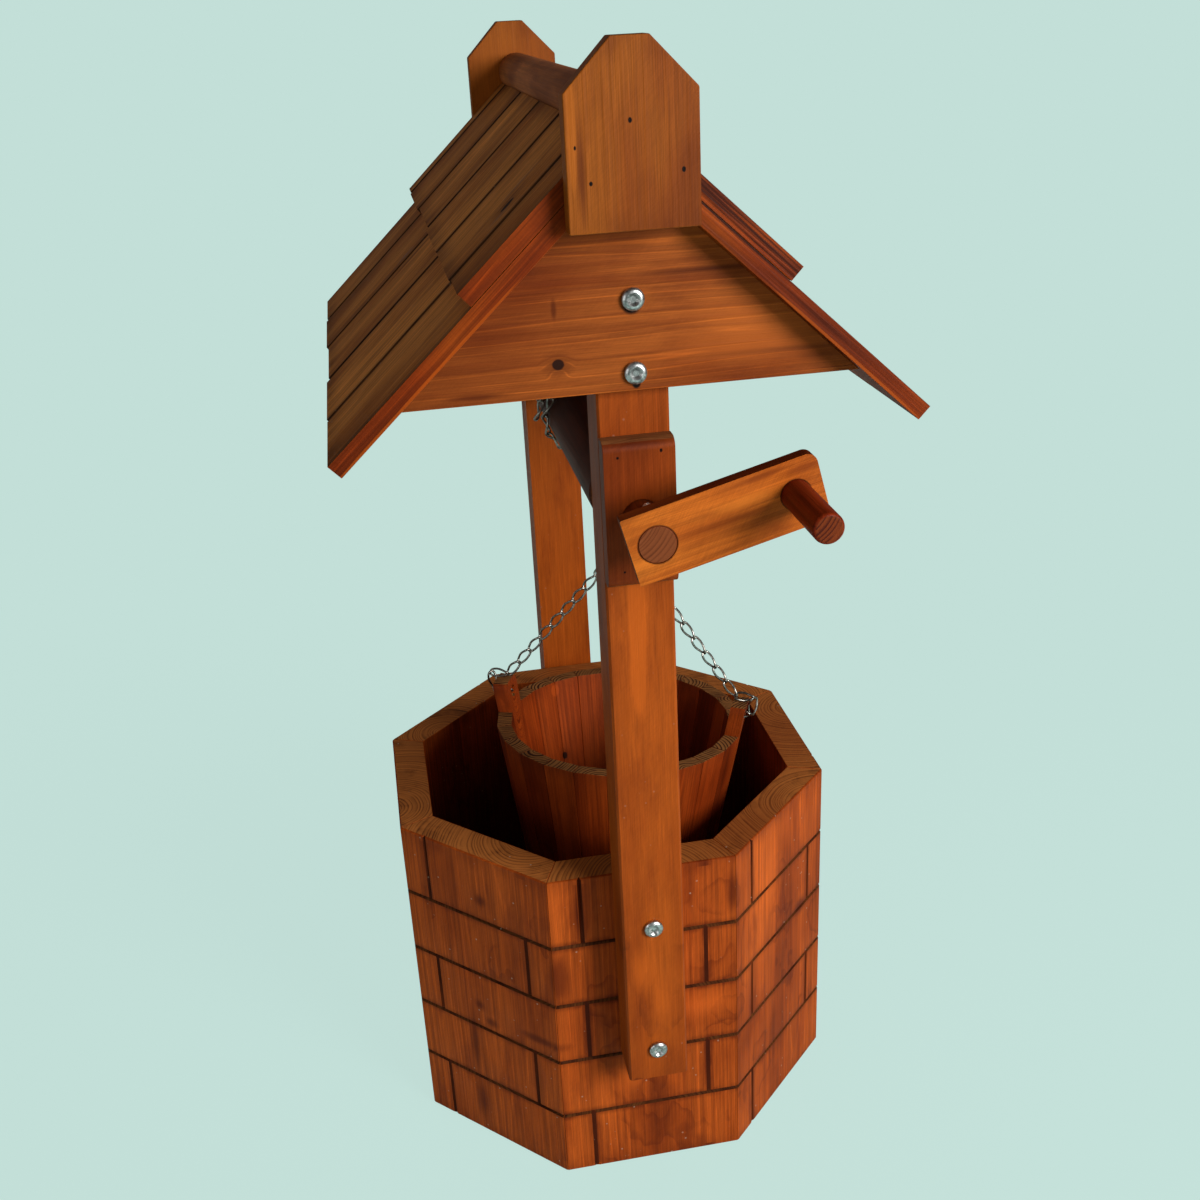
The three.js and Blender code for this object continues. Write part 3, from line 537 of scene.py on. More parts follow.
def addRings(start, at, look, found):
    # growth rings round the pith, uneven in width and strength, drifting along the grain
    drift = at.grain.stretched(9, 9, 2.2).noise(2.0, pick="Color")
    drift = drift.vector("SUBTRACT", (0.5, 0.5, 0.5)).stretched(0.018, 0.018, 0)
    at.far = at.grain.stretched(1, 1, 0).vector("ADD", drift).length()
    if "halo" in found:
        at.far = at.far + found["halo"] * 0.006
    spread = start.joined(at.far * 55, at.along * 1.4, 0.5).noise(2.0)
    at.count = at.far / (look["ring"] * mm) + spread * 4.0
    ring = at.count.maths("FRACT")
    uneven = start.joined(at.far * 150, at.along * 4, at.across * 30).noise(3.0)
    at.late = ring.ramp(*lateRamp) * uneven.between(0.34, 0.62)
    at.thread = ring.ramp(*threadRamp) * at.streak.between(0.3, 0.55)


def faceTone(start, at, look, shades):
    # the stained faces: rings, streaks and fibres, then blotches, a tide line and soaked ends
    board = start.joined(at.along * 0.35, 0.0, 0.0).noise(1.0)
    low = 1 - start.node("ShaderNodeTexCoord", pick="Object").split()[2].between(0.3, 0.36)
    line = at.tide.between(0.565, 0.575) * (1 - at.tide.between(0.575, 0.63))
    line = line * low * at.cloud.between(0.45, 0.55)
    scuff = start.joined(at.along + at.across, at.deep, at.along - at.across)
    scuff = scuff.stretched(60, 60, 900).noise(2.0, 0.5)
    soaked = (1 - at.fromEnd.between(0.0, 0.022)) * at.patch.between(0.3, 0.6) * look["soaked"]

    tone = start.blended(at.cloud.between(0.36, 0.62), shades["light"], shades["base"])
    tone = tone.mixed(at.late * look["ringShare"], shades["dark"])
    tone = tone.scaled(at.streak.between(0.3, 0.7) * look["streak"] + (1 - look["streak"] * 0.55))
    tone = tone.scaled(at.fibre.between(0.3, 0.7) * 0.3 + 0.85)
    tone = tone.scaled(board.between(0.3, 0.7) * 0.3 + 0.85)
    tone = tone.mixed(at.patch.between(0.5, 0.72) * look["blotch"], shades["dark"])
    tone = tone.mixed(at.cloud.between(0.56, 0.7) * look["blotch"], shades["stain"])
    tone = tone.mixed(line * look["tide"], shades["stain"])
    tone = tone.scaled(at.thread * look["thread"] + 1)
    tone = tone.scaled(scuff.between(0.35, 0.65) * look["scuff"] + (1 - look["scuff"] / 2))
    tone = tone.mixed(soaked, shades["stain"])
    return tone.mixed((1 - at.fromSide.between(0.004, 0.012)) * look["sides"], shades["groove"])


def wallTone(tone, at, shades):
    tone = tone.mixed(brickShade(at.local) * at.patch.between(0.25, 0.65) * 0.75, shades["stain"])
    # painted shade: the well's inner faces are darkened, most of all low down
    _, inward, height = at.local.split()
    innerShade = (1 - height.between(*innerShadeFade)) * 0.5 + 0.2
    return tone.scaled(1 - inward.between(*innerFace) * innerShade)


def endTone(start, at, look, shades):
    # the ends of the board soak up more stain, with their rings in plain sight
    hatch = (at.count * (look["ring"] / endLineWidth)).maths("FRACT").ramp(*endRamp)
    uneven = start.joined(at.far * 90, at.along * 4, at.across * 60).noise(2.0)
    darker = hatch * uneven.between(0.18, 0.5) * look["hatch"] + at.late * 0.3
    darker = darker + at.speck.between(0.45, 0.75) * 0.12 + at.patch.between(0.5, 0.7) * 0.3
    return start.blended(darker, shades["endLight"], shades["endDark"])


def markedTone(tone, at, found, shades):
    uneven = {
        "shade": at.streak.between(0.62, 0.4), "tide": at.cloud.between(0.42, 0.56),
        "grey": at.fibre.between(0.3, 0.6),
    }
    for kind, (strength, shade) in markLooks.items():
        if kind not in found:
            continue
        share = found[kind] * uneven[kind] if kind in uneven else found[kind]
        tone = tone.mixed(share * strength, shades[shade] if shade in shades else colour(shade))
        if kind == "pale":
            tone = tone.scaled(found[kind] * 0.3 + 1)
    # painted shade in the holes and just under the bolt heads
    return tone.mixed(found["hole"], colour(flecksAndHoleShade["hole"])) if "hole" in found else tone


def makeWood(name):
    look = {**plainWood, **woods[name]}
    shades = {key: colour(value) for key, value in look.items() if isinstance(value, str)}
    material, start = newMaterial(name)
    at = boardValues(start)
    found = markShares(start, name, at.patch * 1.2 - 0.6)
    addRings(start, at, look, found)
    tone = faceTone(start, at, look, shades)
    if name == "wallWood":
        tone = wallTone(tone, at, shades)
    tone = tone.mixed(at.end, endTone(start, at, look, shades))
    tone = markedTone(tone, at, found, shades)
    tone = tone.mixed(at.edge * at.streak.between(0.35, 0.6) * look["edge"], shades["light"])
    tone = tone.mixed(at.groove * (at.patch.between(0.3, 0.7) * -0.25 + 0.95), shades["groove"])
    cells = {"Vector": at.grain, "Scale": flecksAndHoleShade["flecksPerMetre"]}
    fleck = start.node("ShaderNodeTexVoronoi", {"feature": "F1"}, cells, "Distance")
    fleck = (1 - fleck.between(*flecksAndHoleShade["fleckSize"])) * at.patch.between(0.5, 0.56) * look["fleck"]
    tone = tone.mixed(fleck, colour(flecksAndHoleShade["fleck"]))

    rough = at.fibre * 0.16 + at.end * 0.15 + (look["rough"] - 0.08)
    height = at.late * 0.3 + at.streak * 0.45 + at.fibre * 0.35 + at.speck * 0.12
    bump = start.node("ShaderNodeBump", {}, {"Strength": 0.5, "Distance": 0.0007, "Height": height})
    shader = start.node("ShaderNodeBsdfPrincipled", {}, {
        "Base Color": tone, "Roughness": rough, "Normal": bump, "Specular IOR Level": 0.09})
    start.node("ShaderNodeOutputMaterial", {}, {"Surface": shader})
    return material


# Bright zinc for the bolts, duller nickel for the chain; scale: how fine their clouds are
metals = {
    "boltZinc": {"light": "d2d4d2", "dark": "8c8e8c", "grime": "3a332c", "rough": 0.24, "scale": 420},
    "chainSteel": {"light": "b4b0a6", "dark": "6e6a62", "grime": "2e2823", "rough": 0.22, "scale": 300},
    "hubSteel": {"light": "fffaf0", "dark": "c4beb4", "grime": "5a5048", "rough": 0.38, "scale": 900},
    "nailSteel": {"light": "5a4434", "dark": "2a1a12", "grime": "160c08", "rough": 0.5, "scale": 800},
}


def makeMetal(name):
    look = metals[name]
    material, start = newMaterial(name)
    place = start.node("ShaderNodeTexCoord", pick="Object")
    cloud = place.stretched(*[look["scale"]] * 3).noise(3.0, 0.6)
    scratch = place.stretched(*[look["scale"] * 6] * 3).noise(2.0, 0.5)
    tone = start.blended(cloud.between(0.35, 0.7), colour(look["light"]), colour(look["dark"]))
    tone = tone.mixed(scratch.between(0.62, 0.78) * 0.5, colour(look["grime"]))
    bump = start.node("ShaderNodeBump", {}, {"Strength": 0.12, "Distance": 0.0003, "Height": scratch})
    shader = start.node("ShaderNodeBsdfPrincipled", {}, {
        "Base Color": tone, "Metallic": 1.0, "Roughness": cloud * 0.16 + look["rough"], "Normal": bump})
    start.node("ShaderNodeOutputMaterial", {}, {"Surface": shader})
    return material


materials = {name: makeWood(name) for name in woods}
materials.update({name: makeMetal(name) for name in metals})
print("materials made:", len(materials))


# Steps that the pieces share: objects and meshes, geometry trees, eased edges, grain and wear
def newObject(name, mesh):
    made = bpy.data.objects.new(name, mesh)
    bpy.context.collection.objects.link(made)
    return made


def meshOf(body, name):
    mesh = bpy.data.meshes.new(name)
    body.to_mesh(mesh)
    body.free()
    return mesh


def evaluatedMesh(made, name):
    # the shape with its modifiers applied, as a plain mesh
    bpy.context.view_layer.update()
    graph = bpy.context.evaluated_depsgraph_get()
    mesh = bpy.data.meshes.new_from_object(made.evaluated_get(graph), depsgraph=graph)
    mesh.name = name
    return mesh


def appliedShape(host):
    # the host's shape with its modifiers applied, ready for more work; the host itself goes
    mesh = evaluatedMesh(host, "shape")
    mesh.materials.clear()
    bpy.data.objects.remove(host)
    body = bmesh.new()
    body.from_mesh(mesh)
    bpy.data.meshes.remove(mesh)
    return body


def newTree(name, inputs):
    # a geometry tree with named inputs: what kind they are, and their labels
    tree = bpy.data.node_groups.new(name, "GeometryNodeTree")
    for kind, labels in inputs.items():
        for label in labels:
            tree.interface.new_socket(label, in_out="INPUT", socket_type="NodeSocket" + kind)
    tree.interface.new_socket("Shape", in_out="OUTPUT", socket_type="NodeSocketGeometry")
    start = Flow(tree)
    return start, start.node("NodeGroupInput")


def namedVector(start, label):
    return start.node("GeometryNodeInputNamedAttribute", {"data_type": "FLOAT_VECTOR"}, {"Name": label})


def realInstances(start, shape):
    return start.node("GeometryNodeRealizeInstances", {}, {"Geometry": shape})


def realBoards(start, row):
    # each board keeps its number in the row
    number = start.node("GeometryNodeInputIndex")
    marked = start.node("GeometryNodeStoreNamedAttribute", {"data_type": "INT", "domain": "INSTANCE"}, {
        "Geometry": row, "Name": "board", "Value": number})
    return realInstances(start, marked)


def closedTree(start, shape, material):
    done = start.node("GeometryNodeSetMaterial", {}, {"Geometry": shape, "Material": materials[material]})
    start.node("NodeGroupOutput", {}, {0: done})
    return start.tree


def builtShape(tree, inputs, base=None):
    # what the tree makes of its inputs and the base mesh
    host = newObject("host", base or bpy.data.meshes.new("host"))
    modifier = host.modifiers.new("tree", "NODES")
    modifier.node_group = tree
    for item in tree.interface.items_tree:
        if item.item_type == "SOCKET" and item.in_out == "INPUT" and item.name in inputs:
            modifier[item.identifier] = inputs[item.name]
    return appliedShape(host)


def cadCopy(nodes):
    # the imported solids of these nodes, merged and without the lines across their flat faces
    body = bmesh.new()
    for node in nodes:
        body.from_mesh(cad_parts[node].data)
    bmesh.ops.remove_doubles(body, verts=body.verts, dist=0.02 * mm)
    bmesh.ops.dissolve_limit(body, angle_limit=math.radians(0.6), verts=body.verts, edges=body.edges)
    return body


def eased(body, rule):
    # rounds edges: rule gives an edge's width in millimetres and its steps, or nothing
    groups = {}
    for line in body.edges:
        if line.is_manifold:
            found = rule(line)
            if found:
                groups.setdefault(found, []).append(line)
    worn = set()
    for (width, steps), lines in sorted(groups.items(), key=lambda group: -group[0][0]):
        lines = [line for line in lines if line.is_valid]
        made = bmesh.ops.bevel(body, geom=lines, offset=width * mm, offset_type="OFFSET", segments=steps,
                               profile=0.55, affect="EDGES", clamp_overlap=True)
        worn.update(face for face in made["faces"] if face.is_valid)
    return worn


def plainEase(width, steps=2, sharp=25):
    return lambda line: (width, steps) if line.calc_face_angle(0) > math.radians(sharp) else None


def storeVectors(mesh, label, values, domain="POINT"):
    stored = mesh.attributes.new(label, "FLOAT_VECTOR", domain)
    stored.data.foreach_set("vector", np.array(values, np.float32).ravel())


def finished(name, body, worn, material, grain, endGrain=0.8, grooves=None, second=None):
    # writes the mesh, its grain and its wear, and keeps its large faces flat under smooth shading
    body.normal_update()
    body.faces.index_update()
    wornFaces = {face.index for face in worn if face.is_valid}
    mesh = meshOf(body, name)
    mesh.materials.append(materials[material])
    for face in mesh.polygons:
        face.material_index = 0
    if second:
        mesh.materials.append(materials[second[0]])
        for face in mesh.polygons:
            face.material_index = int(second[1](face))
    storeGrain(mesh, grain)
    storeWear(mesh, wornFaces, grain, endGrain, grooves)
    mesh.shade_smooth()
    mesh.set_sharp_from_angle(angle=math.radians(38))
    made = newObject(name, mesh)
    made.modifiers.new("flats", "WEIGHTED_NORMAL").keep_sharp = True
    flat = evaluatedMesh(made, name)
    made.modifiers.clear()
    made.data = flat
    return made


def boardAxes(grain, count):
    # along, across and into the board, for each board of the mesh
    along = np.array(grain["along"], float).reshape(-1, 3)
    across = np.array(grain["across"], float).reshape(-1, 3)
    along = np.repeat(along, count, 0) if len(along) == 1 else along
    across = np.repeat(across, count, 0) if len(across) == 1 else across
    return along, across, np.cross(along, across)


def boardOf(mesh):
    found = mesh.attributes.get("board")
    if not found:
        return np.zeros(len(mesh.vertices), int)
    boards = np.zeros(len(mesh.vertices), np.int32)
    found.data.foreach_get("value", boards)
    return boards


def storeGrain(mesh, grain):
    points = np.zeros(len(mesh.vertices) * 3)
    mesh.vertices.foreach_get("co", points)
    points = points.reshape(-1, 3)
    boards = boardOf(mesh)
    count = int(boards.max()) + 1
    along, across, into = boardAxes(grain, count)
    draw = random.Random(grain["seed"])
    place, own, half = np.zeros_like(points), np.zeros_like(points), np.zeros_like(points)
    for board in range(count):
        mine = boards == board
        if not mine.any():
            continue
        middle = (points[mine].min(0) + points[mine].max(0)) / 2
        side = draw.uniform(-1, 1) * grain.get("pithSide", 40) * mm
        deep = draw.choice((-1, 1)) * draw.uniform(0.4, 1) * grain.get("pithDeep", 60) * mm
        if "pith" in grain:
            side, deep = grain["pith"][0] * mm, grain["pith"][1] * mm
        local = points[mine] - middle
        place[mine, 0] = local @ across[board] + side
        place[mine, 1] = local @ into[board] + deep
        place[mine, 2] = local @ along[board] + draw.uniform(0, 40)
        own[mine] = np.stack((local @ across[board], local @ into[board], local @ along[board]), 1)
        half[mine] = np.abs(own[mine]).max(0)
    for label, values in (("grain", place), ("local", own), ("half", half)):
        storeVectors(mesh, label, values)


def storeWear(mesh, wornFaces, grain, endGrain, grooves):
    boards = boardOf(mesh)
    along, _, _ = boardAxes(grain, int(boards.max()) + 1)
    wear = np.zeros((len(mesh.loops), 3), np.float32)
    for face in mesh.polygons:
        axis = along[boards[mesh.loops[face.loop_start].vertex_index]]
        facing = abs(float(face.normal @ Vector(axis)))
        loops = range(face.loop_start, face.loop_start + face.loop_total)
        wear[list(loops)] = (
            face.index in wornFaces,
            facing > endGrain,
            bool(grooves and grooves(face)),
        )
    storeVectors(mesh, "wear", wear, "CORNER")


def placed(made, bodyName, nodes):
    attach(made, bodyName)
    if nodes:
        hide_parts(*nodes)


def nodesNamed(prefix):
    return sorted(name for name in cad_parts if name.startswith(prefix))


# Walls: one brick cut board, turned round the well eight times; lengths in millimetres
walls = {
    "edge": 0.8, "grooveEdge": 0.35, "cutReach": 86, "cutDepth": 4, "cutMargin": 2,
    "seed": 11, "pithSide": 60, "pithDeep": 55,
}


def wallRingTree():
    start, given = newTree("wallRing", {"Geometry": ["Board"], "Int": ["Sides"]})
    sides = given.output("Sides")
    angle = start.node("GeometryNodeInputIndex") * full / sides
    ring = start.node("GeometryNodeInstanceOnPoints", {}, {
        "Points": start.node("GeometryNodePoints", {}, {"Count": sides}),
        "Instance": given.output("Board"), "Rotation": start.joined(0.0, 0.0, angle)})
    return closedTree(start, realBoards(start, ring), "wallWood")


def makeWalls():
    step = full / sizes["wallSides"]
    outer = -sizes["acrossFlats"] / 2 * mm
    top = sizes["wellHeight"] * mm
    hair = 0.05 * mm
    body = cadCopy(["wall_board_2"])
    bmesh.ops.transform(body, matrix=Matrix.Rotation(-step, 4, "Z"), verts=body.verts)

    def rule(line):
        # the cuts' rims are eased less than the board's own edges, their feet not at all
        if line.calc_face_angle(0) < math.radians(18):
            return None
        ends = [corner.co for corner in line.verts]
        if all(abs(e.y - outer) > hair and e.y < outer + walls["cutDepth"] * mm for e in ends):
            return None
        margin = walls["cutMargin"] * mm
        onFace = all(abs(e.y - outer) < hair for e in ends)
        inside = all(abs(e.x) < walls["cutReach"] * mm and margin < e.z < top - margin for e in ends)
        if onFace and (inside or abs((ends[1] - ends[0]).normalized().x) > 0.9):
            return (walls["grooveEdge"], 1)
        return (walls["edge"], 2)

    worn = eased(body, rule)
    body.normal_update()
    numbers = [face.index for face in body.faces if face in worn]
    # the rounded faces stay known in the ring by a layer of marks
    marks = body.faces.layers.int.new("worn")
    body.faces.ensure_lookup_table()
    for k in numbers:
        body.faces[k][marks] = 1
    body = builtShape(wallRingTree(), {"Sides": sizes["wallSides"]}, meshOf(body, "wallBoard"))
    marks = body.faces.layers.int.get("worn")
    worn = [face for face in body.faces if face[marks]]
    angles = [k * step for k in range(sizes["wallSides"])]
    grain = {
        "along": (0, 0, 1), "across": [(math.cos(a), math.sin(a), 0) for a in angles],
        "seed": walls["seed"], "pithSide": walls["pithSide"], "pithDeep": walls["pithDeep"],
    }

    def groove(face):
        # the routed cuts' flanks: between the outer face and the cut's foot, and facing askew
        a = round(math.atan2(face.center.x, -face.center.y) / step) * step
        outward = Vector((math.sin(a), -math.cos(a), 0))
        inCut = 0.2 * mm < -outer - face.center.dot(outward) < 3.2 * mm
        askew = 0.3 < face.normal.dot(outward) < 0.97
        return inCut and askew and 4 * mm < face.center.z < top - 3 * mm

    made = finished("wall_boards", body, worn, "wallWood", grain, 0.8, groove)
    placed(made, "well", nodesNamed("wall_board_"))


makeWalls()
print("walls made")


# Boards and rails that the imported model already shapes: copied, eased and grained
boards = {
    # name: material, slot, along, across, easing and where the pith lies, in millimetres
    "floor_panel": ("wallWood", "wall_wood", (1, 0, 0), (0, 1, 0), 0.5, (20, 70)),
    "post_front": ("postWood", "post_wood", (0, 0, 1), (1, 0, 0), 0.9, (8, 62)),
    "post_rear": ("postWood", "post_wood", (0, 0, 1), (1, 0, 0), 0.9, (-14, 58)),
    "bearing_plate": ("plateWood", "post_wood", (0, 0, 1), (1, 0, 0), 1.1, (4, 90)),
    "gable_front": ("gableWood", "gable_wood", (1, 0, 0), (0, 0, 1), 0.7, (-150, 40)),
    "gable_rear": ("gableWood", "gable_wood", (1, 0, 0), (0, 0, 1), 0.7, (-120, 60)),
    "finial_front": ("finialWood", "finial_wood", (0, 0, 1), (1, 0, 0), 1.0, (-66, 30)),
    "finial_rear": ("finialWood", "finial_wood", (0, 0, 1), (1, 0, 0), 1.0, (20, 60)),
    "ridge_beam": ("ridgeWood", "ridge_wood", (0, 1, 0), (1, 0, 0), 0.8, (10, 30)),
    "purlin_left": ("ridgeWood", "ridge_wood", (0, 1, 0), (1, 0, 0), 0.8, (10, 30)),
    "purlin_right": ("ridgeWood", "ridge_wood", (0, 1, 0), (1, 0, 0), 0.8, (-10, 30)),
}


def closeToRoof(body):
    # the gable's slanted edges meet the slats, with no light between them
    body.normal_update()
    moved = {}
    for face in body.faces:
        if abs(face.normal.x) > 0.3 and face.normal.z > 0.3:
            for corner in face.verts:
                moved[corner] = face.normal.copy()
    for corner, out in moved.items():
        corner.co += out * sizes["gap"] * 1.1 * mm


def makeBoards():
    for seed, (node, facts) in enumerate(boards.items()):
        material, slotName, along, across, width, pith = facts
        body = cadCopy([node])
        if node.startswith("gable"):
            closeToRoof(body)
        worn = eased(body, plainEase(width))
        grain = {"along": along, "across": across, "seed": 30 + seed, "pith": pith}
        made = finished(node + "_wood", body, worn, material, grain)
        placed(made, "well", [node])


makeBoards()
print("boards made:", len(boards))


# Turned pieces: a profile of radius and distance along y, spun round
def lathe(profile, sides):
    body = bmesh.new()
    turns = [k * full / sides for k in range(sides)]
    rings = []
    for radius, along in profile:
        places = [(radius * mm * math.cos(t), along * mm, radius * mm * math.sin(t)) for t in turns]
        rings.append([body.verts.new(place) for place in places])
    for low, high in zip(rings, rings[1:]):
        for k in range(sides):
            after = (k + 1) % sides
            body.faces.new((low[k], low[after], high[after], high[k]))
    body.faces.new(rings[0])
    body.faces.new(rings[-1])
    bmesh.ops.recalc_face_normals(body, faces=body.faces)
    return body


def roundedEnds(radius, low, high, ease, steps=4):
    turns = [k / steps * full / 4 for k in range(steps + 1)]
    start = [(radius - ease + ease * math.sin(t), low + ease - ease * math.cos(t)) for t in turns]
    finish = [(r, low + high - a) for r, a in reversed(start)]
    return start + finish


turnedPieces = {
    # name: radius, from, to, rounding, x, z, body, material, slot
    "ridge_pole": (20, -316.8, 316.8, 1.4, -4, 1087, "well", "ridgeWood", "ridge_wood"),
    # the roller takes the darker wood with painted shade
    "roller": (32, -228, 228, 2.5, 0, 770.5, "windlass", "rollerWoodPaintedShade", "ridge_wood"),
    "axle": (15.7, -357, 277.3, 1.0, 0, 770.5, "windlass", "axleWood", "crank_wood"),
}


def makeTurned():
    for seed, (node, facts) in enumerate(turnedPieces.items()):
        radius, low, high, ease, x, z, bodyName, material, slotName = facts
        body = lathe(roundedEnds(radius, low, high, ease), 72)
        bmesh.ops.translate(body, verts=body.verts, vec=(x * mm, 0, z * mm))
        grain = {"along": (0, 1, 0), "across": (1, 0, 0), "seed": 60 + seed, "pith": (46, 38)}
        made = finished(node + "_wood", body, [], material, grain, 0.9)
        placed(made, bodyName, [node])


makeTurned()


# Crank: arm and handle are turned with the axle by the arm's angle; millimetres and degrees
crank = {
    "angle": 14.6, "throw": 116, "back": 344, "thickness": 13, "handleRadius": 12.5, "reach": 79,
    "handleEase": 3, "armEase": 0.9,
}


def makeCrank():
    turn = math.radians(crank["angle"])
    along = (math.cos(turn), 0, math.sin(turn))
    across = (-math.sin(turn), 0, math.cos(turn))
    body = cadCopy(["crank_arm"])
    worn = eased(body, plainEase(crank["armEase"]))
    grain = {"along": along, "across": across, "seed": 71, "pith": (-34, 30)}
    edges = ("axleWood", lambda face: abs(face.normal.y) < 0.4)
    made = finished("crank_arm_wood", body, worn, "crankWood", grain, second=edges)
    placed(made, "windlass", ["crank_arm"])

    tip = -crank["back"] - crank["thickness"] - crank["reach"]
    profile = roundedEnds(crank["handleRadius"], tip, -crank["back"], crank["handleEase"])
    body = lathe(profile, 48)
    spot = Vector(along) * crank["throw"] * mm + Vector((0, 0, sizes["axleHeight"] * mm))
    bmesh.ops.translate(body, verts=body.verts, vec=spot)
    grain = {"along": (0, 1, 0), "across": (1, 0, 0), "seed": 72, "pith": (44, 30)}
    made = finished("crank_handle_wood", body, [], "handleWood", grain, 0.9)
    placed(made, "windlass", ["crank_handle"])


makeCrank()
print("turned pieces and crank made")


# Roof slats: each tier is a row of boards down the slope; lengths in millimetres
roof = {
    "bevel": 4.2, "edge": 0.5, "wander": 1.6, "wanderTurn": 132, "seed": 80, "pithSide": 70, "pithDeep": 60,
    "poleRadius": 20, "poleBelow": 5.5, "eaves": {"upper": 182, "lower": 343.5},
    "firstRips": {"upper": {"left": 37, "right": 58}, "lower": {"left": 104, "right": 112}},
}


def slatTree():
    start, given = newTree("slatTier", {"Int": ["Count"], "Float": [
        "Half Roof", "First Rip", "Cover", "Start", "Eave", "Drop", "Thickness", "Gap", "Wander",
        "Wander Turn"]})
    half, cover, top = (given.output(label) for label in ("Half Roof", "Cover", "Start"))
    thick, gap = given.output("Thickness"), given.output("Gap")
    index = start.node("GeometryNodeInputIndex")
    # a slat runs from the joint before it to the joint after it, or to the roof's end
    after = index * cover + given.output("First Rip") - half
    low = (after - cover).maths("MAXIMUM", 0 - half) + gap / 2
    high = after.maths("MINIMUM", half) - gap / 2
    wander = (index * given.output("Wander Turn")).maths("SINE") * given.output("Wander")
    length = given.output("Eave") - top + wander
    corner = start.joined(top, low, 0 - given.output("Drop") - thick)
    points = start.node("GeometryNodePoints", {}, {"Count": given.output("Count"), "Position": corner})
    unit = start.node("GeometryNodeMeshCube", {}, {"Size": (1, 1, 1)})
    unit = start.node("GeometryNodeTransform", {}, {"Geometry": unit, "Translation": (0.5, 0.5, 0.5)})
    row = start.node("GeometryNodeInstanceOnPoints", {}, {
        "Points": points, "Instance": unit, "Scale": start.joined(length, high - low, thick)})
    return closedTree(start, realBoards(start, row), "slatWood")


def poleFlank(drop):
    # how far down the slope the ridge pole reaches at this depth under the roof's face
    depth = max(0, drop - roof["poleBelow"] * math.cos(slope))
    return roof["poleBelow"] * math.sin(slope) + math.sqrt(roof["poleRadius"] ** 2 - depth * depth)


def slatRule(drop):
    top = -drop * mm
    half = sizes["halfRoof"] * mm

    def rule(line):
        # the joints between the slats are V shaped from above, the other edges only eased
        if line.calc_face_angle(0) < math.radians(25):
            return None
        ends = [corner.co for corner in line.verts]
        onTop = all(abs(e.z - top) < 0.01 * mm for e in ends)
        lengthwise = abs(ends[0].y - ends[1].y) < 0.01 * mm and abs(ends[0].x - ends[1].x) > 20 * mm
        atGable = all(abs(abs(e.y) - half) < 1 * mm for e in ends)
        if onTop and lengthwise and not atGable:
            return (roof["bevel"], 1)
        return (roof["edge"], 2)

    return rule


def makeTier(tree, side, tier):
    nodes = nodesNamed(f"slat_{side}_{tier}_")
    thick, gap = sizes["slatThickness"], sizes["gap"]
    drop = 0 if tier == "upper" else thick + gap
    start = max(poleFlank(drop), (drop + thick) * math.tan(slope)) + gap
    lengths = {
        "Half Roof": sizes["halfRoof"], "First Rip": roof["firstRips"][tier][side],
        "Cover": sizes["slatCover"], "Start": start, "Eave": roof["eaves"][tier], "Drop": drop,
        "Thickness": thick, "Gap": gap, "Wander": roof["wander"],
    }
    inputs = {label: float(value * mm) for label, value in lengths.items()}
    inputs["Wander Turn"] = math.radians(roof["wanderTurn"])
    inputs["Count"] = len(nodes)
    body = builtShape(tree, inputs)
    worn = eased(body, slatRule(drop))
    place = Matrix.Translation((sizes["roofShift"] * mm, 0, sizes["ridgeHeight"] * mm))
    place = place @ Matrix.Rotation(math.pi if side == "left" else 0, 4, "Z")
    place = place @ Matrix.Rotation(slope, 4, "Y")
    bmesh.ops.transform(body, matrix=place, verts=body.verts)
    along, across, out = (place.to_3x3() @ Vector(axis) for axis in ((1, 0, 0), (0, 1, 0), (0, 0, 1)))
    grain = {
        "along": along, "across": across, "seed": roof["seed"] + len(side) + len(tier) * 3,
        "pithSide": roof["pithSide"], "pithDeep": roof["pithDeep"],
    }

    def joint(face):
        return 0.5 < face.normal.dot(out) < 0.9 and abs(face.normal.dot(across)) > 0.3

    def cutSide(face):
        # the boards' outer flanks and under sides kept their colour out of the sun
        return face.normal.dot(out) < 0.4

    edges = ("slatEdgeWood", cutSide)
    made = finished(f"slats_{side}_{tier}", body, worn, "slatWood", grain, 0.8, joint, edges)
    placed(made, "well", nodes)


def makeRoof():
    tree = slatTree()
    for side in ("left", "right"):
        for tier in ("upper", "lower"):
            makeTier(tree, side, tier)


makeRoof()
print("roof made")


# Bucket: in its own frame the rim is z = 0 and the ears stand on the x axis; sizes in millimetres
# and degrees
bucket = {
    "offset": -13.6, "y": -8, "rimRadius": 137.2, "height": 220, "wall": 16, "lean": 10.2, "turn": -24,
    "tiltX": -2.3, "tiltY": 2.9, "staves": 24, "earHeight": 34, "earRound": 8, "holeRadius": 6.6,
    "gap": 0.25, "edge": 0.8, "earChainRise": 6.1,
}
chain = {
    "wire": 2.4, "crown": 4, "belly": 4.4, "length": 24.2, "bite": 0.9, "twist": 45, "ringRadius": 10,
    "ringWire": 3, "play": 0.7, "legLinks": 10, "untwist": 3, "dropLinks": 6, "dropUnderAxle": 8.9,
    "woundLinks": 18, "woundPitch": 30, "looseLift": 6, "jointRadius": 37.0284, "blendOver": 12,
    "around": 40, "section": 10, "ringAround": 48, "ringSection": 12,
}
linkPitch = chain["length"] - 2 * chain["wire"] + chain["bite"]
crownBack = (chain["wire"] - chain["bite"]) / 2
bucketSlope = math.tan(math.radians(bucket["lean"]))


def bucketFrame(height):
    tilt = (Matrix.Rotation(math.radians(bucket["tiltX"]), 4, "X")
            @ Matrix.Rotation(math.radians(bucket["tiltY"]), 4, "Y")
            @ Matrix.Rotation(math.radians(bucket["turn"]), 4, "Z"))
    return Matrix.Translation((chain["jointRadius"] + bucket["offset"], bucket["y"], height)) @ tilt


